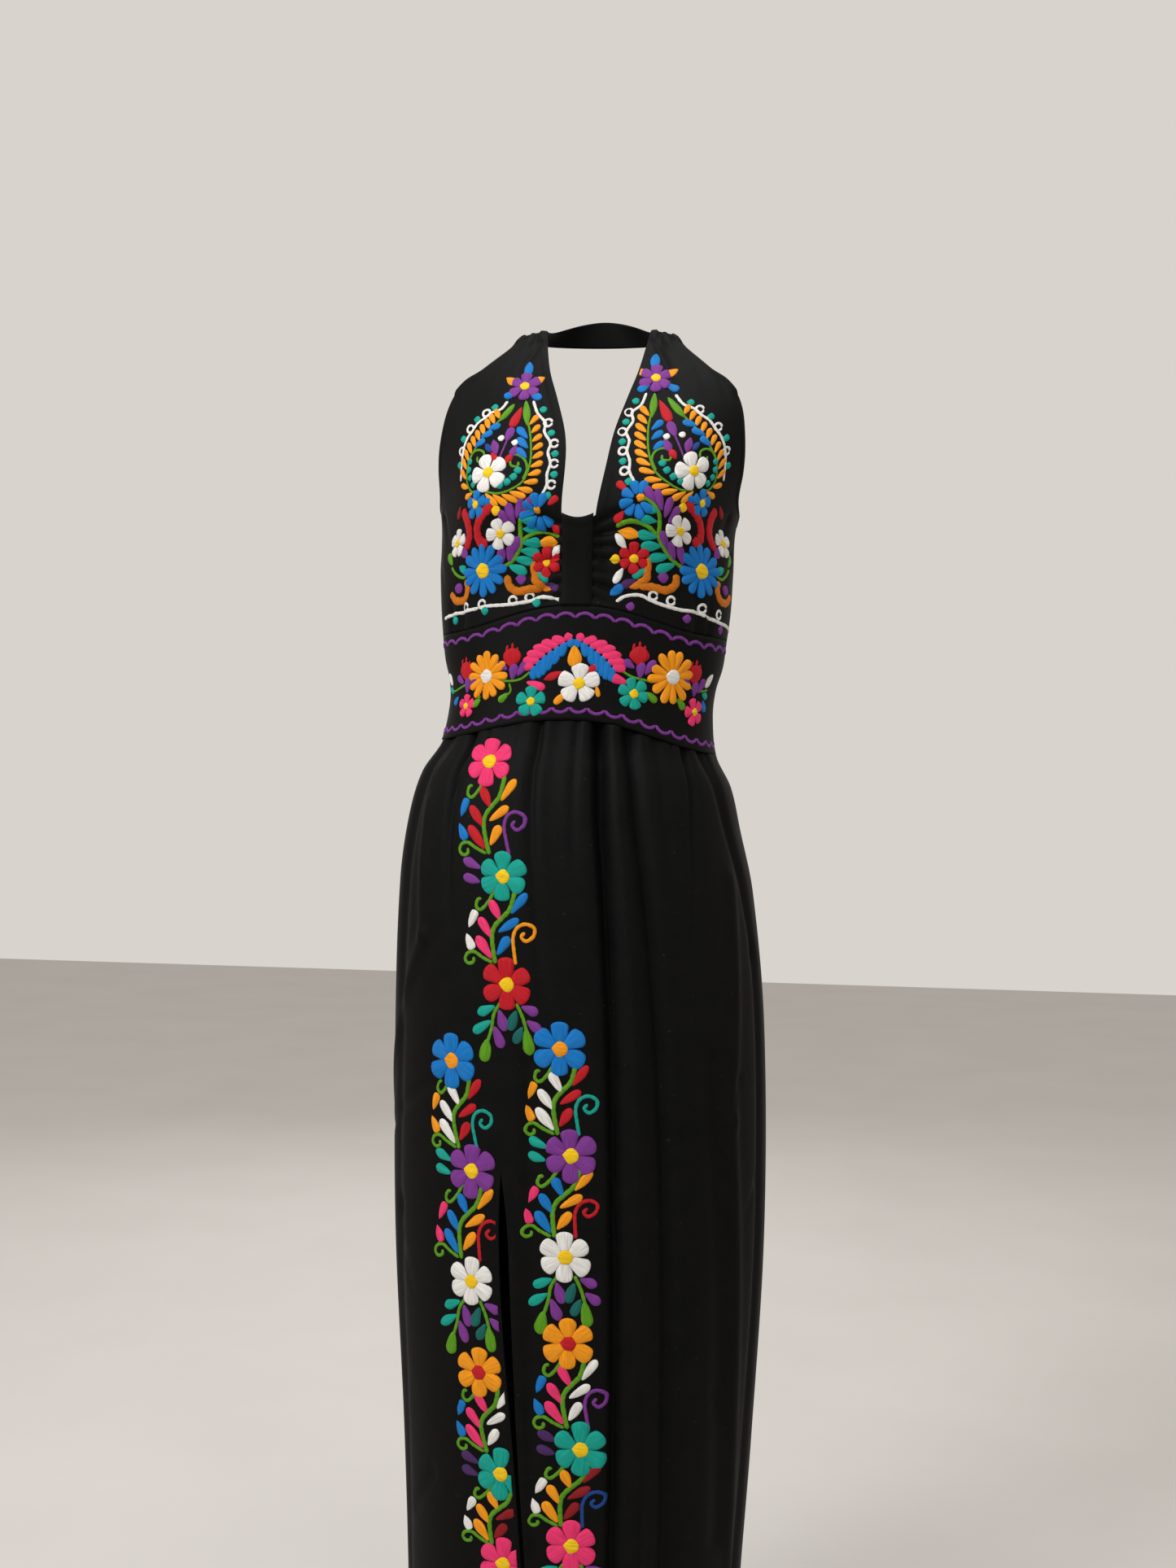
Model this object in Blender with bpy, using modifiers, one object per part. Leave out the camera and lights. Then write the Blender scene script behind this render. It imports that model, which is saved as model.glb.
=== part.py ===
"""A halter-neck maxi dress, worn but with no wearer: nine cut pieces of cloth, each a thin wall.

Metres, +Z up. The dress faces -Y and +X is on the viewer's right. The origin is the middle of
the neck band's inner face at the nape, where the dress is held. Every piece lies on one body
surface, given by turn (degrees round from centre front, positive to +X) and height.
"""

import math
from collections import namedtuple

import bmesh
import bpy
import numpy as np

# Cloth and seams
CLOTH = 0.0015
SEAM_GAP = 0.0003
HOLLOW_SEAM_GAP = 0.0009
ROUNDNESS = 2.2

# Seam lines round the dress: height at centre front, at the sides and at centre back
Seam = namedtuple("Seam", "front side back arch")
BAND_TOP = Seam(-0.309, -0.333, -0.338, 6.0)
BAND_BOTTOM = Seam(-0.419, -0.438, -0.441, 4.0)
BACK_TOP = Seam(-0.208, -0.208, -0.240, 1.0)
HEM = -1.410

# The worn shape, a row for each section: half its width, its front, widest and back lines, its sway
Section = namedtuple("Section", "height half_width front centre back sway")
SECTIONS = (
    Section(-0.005, 0.120, -0.056, -0.043, 0.008, 0.000),
    Section(-0.035, 0.165, -0.086, -0.050, 0.018, 0.000),
    Section(-0.065, 0.184, -0.114, -0.056, 0.025, 0.000),
    Section(-0.100, 0.182, -0.138, -0.063, 0.029, -0.001),
    Section(-0.140, 0.170, -0.157, -0.070, 0.029, -0.003),
    Section(-0.180, 0.158, -0.168, -0.076, 0.026, -0.005),
    Section(-0.220, 0.149, -0.175, -0.081, 0.020, -0.007),
    Section(-0.265, 0.148, -0.180, -0.085, 0.011, -0.007),
    Section(-0.305, 0.146, -0.184, -0.087, 0.004, -0.006),
    Section(-0.333, 0.143, -0.186, -0.088, -0.001, -0.006),
    Section(-0.356, 0.140, -0.187, -0.089, -0.003, -0.006),
    Section(-0.378, 0.134, -0.188, -0.089, -0.006, -0.007),
    Section(-0.402, 0.1325, -0.190, -0.089, -0.004, -0.008),
    Section(-0.440, 0.139, -0.196, -0.089, 0.006, -0.010),
    Section(-0.470, 0.156, -0.207, -0.089, 0.026, -0.012),
    Section(-0.512, 0.167, -0.216, -0.088, 0.040, -0.013),
    Section(-0.577, 0.178, -0.223, -0.087, 0.050, -0.010),
    Section(-0.718, 0.186, -0.228, -0.086, 0.056, -0.004),
    Section(-0.925, 0.186, -0.228, -0.086, 0.053, 0.000),
    Section(-1.132, 0.175, -0.221, -0.086, 0.046, 0.002),
    Section(-1.280, 0.167, -0.216, -0.086, 0.040, 0.001),
    Section(-1.415, 0.162, -0.212, -0.086, 0.036, 0.000),
)

# Bust fullness, one soft cup on each side of centre front
CUP_TURN = 29.0
CUP_SPREAD = 25.0
CUP_HEIGHT = -0.203
CUP_ABOVE = 0.072
CUP_BELOW = 0.058
CUP_DEPTH = 0.036
CUP_SPREADING = 0.3

# Edges of a halter panel: how far each lies from centre front at a height
Edge = namedtuple("Edge", "height reach")
NECKLINE = (
    Edge(-0.012, 0.0540),
    Edge(-0.065, 0.0450),
    Edge(-0.101, 0.0352),
    Edge(-0.137, 0.0270),
    Edge(-0.178, 0.0200),
    Edge(-0.225, 0.0165),
)
ARMHOLE = (
    Edge(-0.020, 0.0820),
    Edge(-0.043, 0.1000),
    Edge(-0.060, 0.1160),
    Edge(-0.075, 0.1370),
    Edge(-0.095, 0.1500),
    Edge(-0.130, 0.1530),
    Edge(-0.165, 0.1520),
    Edge(-0.195, 0.1495),
    Edge(-0.221, 0.1560),
)
PANEL_TOP = Seam(-0.012, -0.020, -0.020, 1.0)
NECK_BOTTOM = -0.225
UNDERARM = -0.221
STRAP_GATHERS = 3
STRAP_GATHER_DEPTH = 0.0012
STRAP_GATHER_FADE = 0.035

# Centre tab
TAB_HALF_WIDTH = 0.0158

# Neck band: the height of its two edges at the nape, above and below the origin
NAPE_HALF_HEIGHT = 0.0135
NAPE_LEAN = 0.002

# Front slit, from its top down to the hem
Slit = namedtuple("Slit", "height turn half_gap")
SLIT = (
    Slit(-0.846, -16.4, 0.0000),
    Slit(-0.900, -15.8, 0.0042),
    Slit(-0.985, -15.0, 0.0045),
    Slit(-1.110, -12.8, 0.0022),
    Slit(-1.257, -9.5, 0.0016),
    Slit(-1.415, -6.5, 0.0018),
)

# Folds, from where each starts to where it ends: depth is inward, so a ridge is negative
Fold = namedtuple("Fold", "turn height end_turn end_height depth end_depth width")
CUP_FOLDS = (
    Fold(8, -0.231, 27, -0.208, 0.0050, 0.0000, 0.0060),
    Fold(8, -0.240, 30, -0.238, 0.0035, 0.0000, 0.0055),
    Fold(8, -0.252, 28, -0.264, 0.0035, 0.0000, 0.0055),
    Fold(9, -0.268, 24, -0.290, 0.0030, 0.0005, 0.0050),
    Fold(9, -0.288, 18, -0.312, 0.0025, 0.0010, 0.0045),
    Fold(53, -0.330, 47, -0.268, 0.0045, 0.0000, 0.0065),
    Fold(61, -0.330, 58, -0.285, 0.0030, 0.0000, 0.0055),
)
FRONT_FOLDS = (
    Fold(7.5, -0.419, 18.0, -1.415, 0.0075, 0.0060, 0.0085),
    Fold(18.0, -0.425, 40.0, -1.415, 0.0055, 0.0045, 0.0110),
    Fold(12.5, -0.425, 28.0, -1.415, -0.0040, -0.0040, 0.0100),
    Fold(33.0, -0.430, 30.0, -0.560, 0.0050, 0.0010, 0.0110),
    Fold(46.0, -0.432, 62.0, -1.200, 0.0050, 0.0030, 0.0120),
    Fold(63.0, -0.434, 76.0, -1.415, 0.0055, 0.0040, 0.0130),
    Fold(78.0, -0.436, 84.0, -0.900, 0.0045, 0.0010, 0.0110),
    Fold(-3.0, -0.420, -1.0, -0.600, 0.0030, 0.0000, 0.0090),
    Fold(-15.0, -0.424, -10.0, -0.660, 0.0045, 0.0000, 0.0100),
    Fold(-26.0, -0.428, -24.0, -0.560, 0.0030, 0.0000, 0.0090),
    Fold(-46.0, -0.432, -36.0, -0.700, 0.0065, 0.0000, 0.0095),
    Fold(-54.0, -0.433, -62.0, -0.860, 0.0045, 0.0010, 0.0120),
    Fold(-68.0, -0.435, -74.0, -1.415, 0.0050, 0.0040, 0.0130),
    Fold(-80.0, -0.436, -84.0, -0.760, 0.0045, 0.0000, 0.0110),
)
BACK_FOLDS = (
    Fold(98, -0.438, 102, -1.200, 0.0050, 0.0030, 0.0120),
    Fold(112, -0.440, 118, -0.760, 0.0055, 0.0000, 0.0110),
    Fold(127, -0.440, 133, -1.415, 0.0060, 0.0050, 0.0120),
    Fold(142, -0.440, 146, -0.700, 0.0045, 0.0000, 0.0100),
    Fold(156, -0.440, 160, -1.300, 0.0060, 0.0040, 0.0120),
    Fold(171, -0.440, 173, -0.820, 0.0050, 0.0000, 0.0110),
    Fold(186, -0.440, 184, -1.415, 0.0060, 0.0050, 0.0120),
    Fold(200, -0.440, 196, -0.740, 0.0050, 0.0000, 0.0100),
    Fold(216, -0.440, 212, -1.350, 0.0055, 0.0040, 0.0120),
    Fold(233, -0.440, 228, -0.800, 0.0050, 0.0000, 0.0110),
    Fold(248, -0.440, 243, -1.415, 0.0055, 0.0040, 0.0120),
    Fold(261, -0.438, 258, -0.900, 0.0045, 0.0010, 0.0110),
)

# Mesh sizes: faces along and across each piece
PANEL_ROWS_ABOVE = 15
PANEL_ROWS_BELOW = 8
PANEL_COLUMNS = 14
TAB_ROWS = 6
TAB_COLUMNS = 3
BAND_ROWS = 4
BAND_FRONT_COLUMNS = 32
BAND_BACK_COLUMNS = 26
BACK_ROWS = 4
NECK_BAND_ROWS = 2
NECK_BAND_COLUMNS = 26
SKIRT_ROWS_ABOVE = 8
SKIRT_ROWS_BELOW = 6
SKIRT_LEFT_COLUMNS = 20
SKIRT_RIGHT_COLUMNS = 28
SKIRT_BACK_COLUMNS = 40

# Finish
BLACK_CLOTH = (0.008, 0.008, 0.009, 1.0)
CLOTH_ROUGHNESS = 0.78


def between(table, field, height):
    """The value of one column at a height, on a smooth curve through the table's rows."""
    heights = [row.height for row in table]
    values = [getattr(row, field) for row in table]
    if height >= heights[0]:
        return values[0]
    if height <= heights[-1]:
        return values[-1]
    i = next(k for k in range(len(heights) - 1) if height >= heights[k + 1])

    def slope(k):
        before, after = max(k - 1, 0), min(k + 1, len(heights) - 1)
        return (values[after] - values[before]) / (heights[after] - heights[before])

    span = heights[i + 1] - heights[i]
    t = (height - heights[i]) / span
    start, end = values[i], values[i + 1]
    turn_in, turn_out = slope(i) * span, slope(i + 1) * span
    return (
        start * (2 * t**3 - 3 * t**2 + 1)
        + turn_in * (t**3 - 2 * t**2 + t)
        + end * (3 * t**2 - 2 * t**3)
        + turn_out * (t**3 - t**2)
    )


def mix(start, end, share):
    return start + (end - start) * share


def seam_height(seam, turn):
    """A seam line's height at a turn: arched over centre front, level or falling behind."""
    facing = math.cos(math.radians(turn))
    if facing >= 0:
        return mix(seam.side, seam.front, facing**seam.arch)
    return mix(seam.side, seam.back, facing**2)


def signed_power(value):
    return math.copysign(abs(value) ** (2 / ROUNDNESS), value)


def cup_fullness(turn, height):
    above = CUP_ABOVE if height > CUP_HEIGHT else CUP_BELOW
    rise = math.exp(-(((height - CUP_HEIGHT) / above) ** 2))
    turns = (turn - CUP_TURN, turn + CUP_TURN)
    return CUP_DEPTH * rise * sum(math.exp(-((t / CUP_SPREAD) ** 2)) for t in turns)


def fold_depth(folds, turn, height):
    """How far the folds take the cloth inward here: each is a soft trough along a line."""
    radius = between(SECTIONS, "half_width", height)
    here = np.array((math.radians(turn) * radius, height))
    depth = 0.0
    for fold in folds:
        start = np.array((math.radians(fold.turn) * radius, fold.height))
        end = np.array((math.radians(fold.end_turn) * radius, fold.end_height))
        along = end - start
        share = float(np.clip(np.dot(here - start, along) / np.dot(along, along), 0, 1))
        away = float(np.linalg.norm(here - start - along * share))
        depth += mix(fold.depth, fold.end_depth, share) * math.exp(-((away / fold.width) ** 2))
    return depth


def body_point(turn, height, inward=0.0):
    """A point on the cloth's inner face, moved inward by the depth of its folds."""
    half_width = between(SECTIONS, "half_width", height)
    centre = between(SECTIONS, "centre", height)
    side, facing = math.sin(math.radians(turn)), math.cos(math.radians(turn))
    line = "front" if facing > 0 else "back"
    reach = abs(between(SECTIONS, line, height) - centre)
    cup = cup_fullness(turn, height) if facing > 0 else 0.0
    sway = between(SECTIONS, "sway", height)
    x = sway + half_width * signed_power(side) + side * (CUP_SPREADING * cup - inward)
    y = centre - reach * signed_power(facing) - facing * (cup - inward)
    return (x, y, height)


def turn_at(reach, height):
    """The turn at which the surface lies this far from centre front."""
    share = min(reach / between(SECTIONS, "half_width", height), 1.0)
    return math.degrees(math.asin(share ** (ROUNDNESS / 2)))


def side_seam_turn(height):
    """The turn at which a front piece stops, half a gap short of the side line."""
    reach = between(SECTIONS, "centre", height) - between(SECTIONS, "front", height)
    return math.degrees(math.acos((SEAM_GAP / 2 / reach) ** (ROUNDNESS / 2)))


def black_cloth(name):
    material = bpy.data.materials.new(f"{name} cloth")
    material.use_nodes = True
    shader = material.node_tree.nodes["Principled BSDF"]
    shader.inputs["Base Color"].default_value = BLACK_CLOTH
    shader.inputs["Roughness"].default_value = CLOTH_ROUGHNESS
    shader.inputs["Metallic"].default_value = 0.0
    return material


def cloth_piece(name, grids, collection):
    """One piece of cloth: open surfaces of rows of points, joined where they share points.

    Rows run down and columns run towards +X in front, so the faces look outward.
    """
    mesh = bpy.data.meshes.new(name)
    form = bmesh.new()
    for rows in grids:
        verts = [[form.verts.new(point) for point in row] for row in rows]
        for upper, lower in zip(verts, verts[1:]):
            for j in range(len(upper) - 1):
                form.faces.new((upper[j], lower[j], lower[j + 1], upper[j + 1]))
    bmesh.ops.remove_doubles(form, verts=form.verts, dist=0.00001)
    form.to_mesh(mesh)
    form.free()
    mesh.materials.append(black_cloth(name))
    mesh.shade_smooth()
    piece = bpy.data.objects.new(name, mesh)
    collection.objects.link(piece)
    wall = piece.modifiers.new("Cloth wall", "SOLIDIFY")
    wall.thickness = CLOTH
    wall.offset = 1.0
    wall.use_quality_normals = True
    return piece


def panel_height(u, v):
    """The height of a halter panel's point above its underarm: u across, v down."""
    top = mix(PANEL_TOP.front, PANEL_TOP.side, u)
    return mix(top, mix(NECK_BOTTOM, UNDERARM, u), v)


def strap_gather(u, height):
    fade = math.exp(-(((PANEL_TOP.front - height) / STRAP_GATHER_FADE) ** 2))
    return STRAP_GATHER_DEPTH * fade * math.cos(2 * math.pi * STRAP_GATHERS * u)


def panel_turn_limits(height):
    inner = turn_at(between(NECKLINE, "reach", height), height)
    outer = min(turn_at(between(ARMHOLE, "reach", height), height), side_seam_turn(height))
    return inner, outer


def panel_point(u, v, side):
    """A point above the underarm level, from the neck edge (u 0) to the armhole (u 1)."""
    height = panel_height(u, v)
    inner, outer = panel_turn_limits(height)
    turn = mix(inner, outer, u)
    inward = fold_depth(CUP_FOLDS, turn, height) + strap_gather(u, height)
    return body_point(side * turn, height, inward)


def lower_panel_point(u, w, side):
    """A point below the underarm level, from the tab's seam (u 0) to the side seam (u 1)."""
    start = panel_height(u, 1.0)
    tab_edge = TAB_HALF_WIDTH + HOLLOW_SEAM_GAP
    turn = mix(turn_at(tab_edge, start), side_seam_turn(start), u)
    height = mix(start, seam_height(BAND_TOP, turn) + HOLLOW_SEAM_GAP, w)
    turn = mix(turn_at(tab_edge, height), side_seam_turn(height), u)
    return body_point(side * turn, height, fold_depth(CUP_FOLDS, turn, height))


def halter_panel(name, side, collection):
    """A front from the neck band to the waistband, gathered into the tab. side is 1 for +X."""
    across = np.linspace(0, 1, PANEL_COLUMNS + 1)[::side]
    above = np.linspace(0, 1, PANEL_ROWS_ABOVE + 1)
    below = np.linspace(0, 1, PANEL_ROWS_BELOW + 1)[1:]
    rows = [[panel_point(u, v, side) for u in across] for v in above]
    rows[-1] = [lower_panel_point(u, 0.0, side) for u in across]
    rows += [[lower_panel_point(u, w, side) for u in across] for w in below]
    return cloth_piece(name, [rows], collection)


def centre_tab(collection):
    """The upright strip that both fronts are gathered into."""
    rows = []
    for share in np.linspace(0, 1, TAB_ROWS + 1):
        height = mix(NECK_BOTTOM, seam_height(BAND_TOP, 0) + HOLLOW_SEAM_GAP, share)
        limit = turn_at(TAB_HALF_WIDTH, height)
        turns = np.linspace(-limit, limit, TAB_COLUMNS + 1)
        rows.append([body_point(turn, height) for turn in turns])
    return cloth_piece("centre_tab", [rows], collection)


def strip_round(name, upper, lower, turns, row_count, collection):
    """A strip between two seam lines, from the first turn to the last."""
    rows = []
    for share in np.linspace(0, 1, row_count + 1):
        heights = [mix(seam_height(upper, t), seam_height(lower, t), share) for t in turns]
        rows.append([body_point(t, height) for t, height in zip(turns, heights)])
    return cloth_piece(name, [rows], collection)


def front_turns(height, column_count):
    limit = side_seam_turn(height)
    return np.linspace(-limit, limit, column_count + 1)


def back_turns(height, column_count):
    limit = side_seam_turn(height)
    return np.linspace(180 - limit, 180 + limit, column_count + 1)


def back_bodice(collection):
    """The low plain back between the side seams."""
    lower = Seam(*(line + SEAM_GAP for line in BAND_TOP[:3]), BAND_TOP.arch)
    turns = back_turns(UNDERARM, BAND_BACK_COLUMNS)
    return strip_round("back_bodice", BACK_TOP, lower, turns, BACK_ROWS, collection)


def neck_band(collection):
    """The plain band round the nape, from one strap's top to the other's."""
    neck_end = panel_point(0, 0, 1)
    shoulder_end = panel_point(1, 0, 1)
    edges = (
        (neck_end, (NAPE_HALF_HEIGHT, -NAPE_LEAN)),
        (shoulder_end, (-NAPE_HALF_HEIGHT, NAPE_LEAN)),
    )
    stop = 90 - math.degrees(SEAM_GAP / abs(neck_end[1]))
    rows = []
    for share in np.linspace(0, 1, NECK_BAND_ROWS + 1):
        row = []
        for angle in np.linspace(-stop, stop, NECK_BAND_COLUMNS + 1):
            side, facing = math.sin(math.radians(angle)), math.cos(math.radians(angle))
            ends = []
            for (x, y, z), (nape_z, nape_y) in edges:
                height = mix(nape_z, z, side**2)
                ends.append(np.array((-x * side, mix(y, nape_y, facing), height)))
            row.append(tuple(mix(ends[0], ends[1], share)))
        rows.append(row)
    return cloth_piece("neck_band", [rows], collection)


def skirt_rows():
    """Shares of the skirt's length at each row, with one row at the slit's top."""
    top = seam_height(BAND_BOTTOM, SLIT[0].turn)
    slit_share = (top - SLIT[0].height) / (top - HEM)
    upper = slit_share * np.linspace(0, 1, SKIRT_ROWS_ABOVE + 1) ** 1.5
    lower = np.linspace(slit_share, 1, SKIRT_ROWS_BELOW + 1)
    return upper, lower


def skirt_point(folds, turn, share):
    top = seam_height(BAND_BOTTOM, turn) - HOLLOW_SEAM_GAP
    height = mix(top, HEM, share)
    return body_point(turn, height, fold_depth(folds, turn, height))


def skirt_front(collection):
    """The gathered front, slit from above the knee to the hem."""
    upper, lower = skirt_rows()
    shares = [*upper, *lower[1:]]
    top = seam_height(BAND_BOTTOM, SLIT[0].turn) - HOLLOW_SEAM_GAP
    left, right = [], []
    for share in shares:
        height = mix(top, HEM, share)
        limit = side_seam_turn(height)
        middle = between(SLIT, "turn", height)
        half_gap = between(SLIT, "half_gap", height) if share > upper[-1] else 0.0
        part = math.degrees(half_gap / between(SECTIONS, "half_width", height))
        left_turns = np.linspace(-limit, middle - part, SKIRT_LEFT_COLUMNS + 1)
        right_turns = np.linspace(middle + part, limit, SKIRT_RIGHT_COLUMNS + 1)
        left.append([skirt_point(FRONT_FOLDS, turn, share) for turn in left_turns])
        right.append([skirt_point(FRONT_FOLDS, turn, share) for turn in right_turns])
    return cloth_piece("skirt_front", [left, right], collection)


def skirt_back(collection):
    """The gathered back, plain from seam to seam."""
    upper, lower = skirt_rows()
    rows = []
    for share in [*upper, *lower[1:]]:
        height = mix(BAND_BOTTOM.back, HEM, share)
        turns = back_turns(height, SKIRT_BACK_COLUMNS)
        rows.append([skirt_point(BACK_FOLDS, turn, share) for turn in turns])
    return cloth_piece("skirt_back", [rows], collection)


def build():
    for existing in list(bpy.data.objects):
        bpy.data.objects.remove(existing, do_unlink=True)
    dress = bpy.data.collections.new("Halter dress")
    bpy.context.scene.collection.children.link(dress)
    halter_panel("halter_panel_right", -1, dress)
    halter_panel("halter_panel_left", 1, dress)
    centre_tab(dress)
    neck_band(dress)
    back_bodice(dress)
    front = front_turns(BAND_BOTTOM.side, BAND_FRONT_COLUMNS)
    back = back_turns(BAND_BOTTOM.side, BAND_BACK_COLUMNS)
    strip_round("midriff_band_front", BAND_TOP, BAND_BOTTOM, front, BAND_ROWS, dress)
    strip_round("midriff_band_back", BAND_TOP, BAND_BOTTOM, back, BAND_ROWS, dress)
    skirt_front(dress)
    skirt_back(dress)


build()
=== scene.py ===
"""Looks for a halter-neck maxi dress: black cloth with its creases, and bright flower embroidery.

Metres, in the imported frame: +Z up, the dress faces -Y and the origin is at the nape. A place on the
cloth is a turn (degrees round from centre front, positive to +X) and a height.
"""

import math
from collections import namedtuple

import bpy
import numpy as np
from mathutils import Matrix


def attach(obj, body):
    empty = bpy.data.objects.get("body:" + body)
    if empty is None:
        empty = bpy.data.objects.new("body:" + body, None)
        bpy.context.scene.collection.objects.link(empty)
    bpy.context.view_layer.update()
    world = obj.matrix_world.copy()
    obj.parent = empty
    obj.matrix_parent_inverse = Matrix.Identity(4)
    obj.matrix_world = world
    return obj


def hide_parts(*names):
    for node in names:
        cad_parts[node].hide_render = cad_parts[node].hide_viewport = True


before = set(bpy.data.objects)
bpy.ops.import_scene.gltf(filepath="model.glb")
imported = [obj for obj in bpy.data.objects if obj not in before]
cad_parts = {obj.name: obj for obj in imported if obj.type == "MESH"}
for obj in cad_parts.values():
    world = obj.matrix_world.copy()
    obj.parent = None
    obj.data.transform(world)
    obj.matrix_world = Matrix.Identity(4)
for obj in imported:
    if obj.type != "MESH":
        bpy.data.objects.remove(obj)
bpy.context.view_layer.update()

# Cloth and seams
CLOTH = 0.0012
SEAM_GAP = 0.0003
SEAM_WRAP = 0.0005
HOLLOW_SEAM_GAP = 0.0006
ROUNDNESS = 2.2
HEM_LIFT = 0.0005
HEM_EDGE = 0.0070
SKIRT_HEM_EDGE = 0.0200

# Seam lines round the dress: height at centre front, at the sides and at centre back
Seam = namedtuple("Seam", "front side back arch")
BAND_TOP = Seam(-0.309, -0.333, -0.338, 6.0)
BAND_BOTTOM = Seam(-0.419, -0.438, -0.441, 4.0)
BACK_TOP = Seam(-0.208, -0.208, -0.240, 1.0)
HEM = -1.410

# The worn shape, a row for each section: half its width, its front, widest and back lines, its sway
Section = namedtuple("Section", "height half_width front centre back sway")
SECTIONS = (
    Section(-0.005, 0.120, -0.056, -0.043, 0.008, 0.000),
    Section(-0.035, 0.165, -0.086, -0.050, 0.018, 0.000),
    Section(-0.065, 0.184, -0.114, -0.056, 0.025, 0.000),
    Section(-0.100, 0.182, -0.138, -0.063, 0.029, -0.001),
    Section(-0.140, 0.170, -0.157, -0.070, 0.029, -0.003),
    Section(-0.180, 0.158, -0.168, -0.076, 0.026, -0.005),
    Section(-0.220, 0.149, -0.175, -0.081, 0.020, -0.007),
    Section(-0.265, 0.148, -0.180, -0.085, 0.011, -0.007),
    Section(-0.305, 0.146, -0.184, -0.087, 0.004, -0.006),
    Section(-0.333, 0.143, -0.186, -0.088, -0.001, -0.006),
    Section(-0.356, 0.140, -0.187, -0.089, -0.003, -0.006),
    Section(-0.378, 0.134, -0.188, -0.089, -0.006, -0.007),
    Section(-0.402, 0.1325, -0.190, -0.089, -0.004, -0.008),
    Section(-0.440, 0.139, -0.196, -0.089, 0.006, -0.010),
    Section(-0.470, 0.156, -0.207, -0.089, 0.026, -0.012),
    Section(-0.512, 0.167, -0.216, -0.088, 0.040, -0.013),
    Section(-0.577, 0.178, -0.223, -0.087, 0.050, -0.010),
    Section(-0.718, 0.186, -0.228, -0.086, 0.056, -0.004),
    Section(-0.925, 0.186, -0.228, -0.086, 0.053, 0.000),
    Section(-1.132, 0.175, -0.221, -0.086, 0.046, 0.002),
    Section(-1.280, 0.167, -0.216, -0.086, 0.040, 0.001),
    Section(-1.415, 0.162, -0.212, -0.086, 0.036, 0.000),
)

# Bust fullness, one soft cup on each side of centre front
CUP_TURN = 29.0
CUP_SPREAD = 25.0
CUP_HEIGHT = -0.203
CUP_ABOVE = 0.072
CUP_BELOW = 0.058
CUP_DEPTH = 0.036
CUP_SPREADING = 0.3

# Edges of a halter panel: how far each lies from centre front at a height
Edge = namedtuple("Edge", "height reach")
NECKLINE = (
    Edge(-0.012, 0.0540),
    Edge(-0.065, 0.0450),
    Edge(-0.101, 0.0352),
    Edge(-0.137, 0.0270),
    Edge(-0.178, 0.0222),
    Edge(-0.225, 0.0165),
)
ARMHOLE = (
    Edge(-0.020, 0.0820),
    Edge(-0.043, 0.1000),
    Edge(-0.060, 0.1160),
    Edge(-0.075, 0.1335),
    Edge(-0.095, 0.1465),
    Edge(-0.130, 0.1515),
    Edge(-0.165, 0.1520),
    Edge(-0.195, 0.1495),
    Edge(-0.221, 0.1560),
)
PANEL_TOP_INNER = -0.012
PANEL_TOP_OUTER = -0.020
NECK_BOTTOM = -0.225
UNDERARM = -0.221
STRAP_GATHERS = 3
STRAP_GATHER_DEPTH = 0.0012
STRAP_GATHER_FADE = 0.035
TAB_HALF_WIDTH = 0.0145
TAB_CORNER_RISE = 0.0040
TAB_OVER_FRONTS = 0.0010
TAB_LIFT = 0.0014
NAPE_HALF_HEIGHT = 0.0135
NAPE_LEAN = 0.002

# The wearer's right front comes nearer to the middle beside the neck opening
RIGHT_NEARER = Edge(-0.160, 0.0070)
RIGHT_NEARER_SPAN = 0.052

# How far the worn bodice sits to the wearer's left, at its front and at its sides
Turned = namedtuple("Turned", "height front side")
BODICE_TURN = (
    Turned(-0.020, 0.0000, 0.0000),
    Turned(-0.060, 0.0012, 0.0014),
    Turned(-0.110, 0.0030, 0.0026),
    Turned(-0.230, 0.0034, 0.0018),
    Turned(-0.330, 0.0010, 0.0000),
    Turned(-0.400, 0.0000, 0.0000),
)

# The waistband's lower edge dips towards the wearer's left hip
WAIST_DIP = 0.0110
DIP_REACH = 0.155

# Front slit, from its top down to the hem
Slit = namedtuple("Slit", "height turn half_gap")
SLIT = (
    Slit(-0.846, -16.4, 0.0000),
    Slit(-0.900, -15.8, 0.0042),
    Slit(-0.985, -15.0, 0.0045),
    Slit(-1.110, -12.8, 0.0022),
    Slit(-1.257, -9.5, 0.0016),
    Slit(-1.415, -6.5, 0.0018),
)

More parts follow.
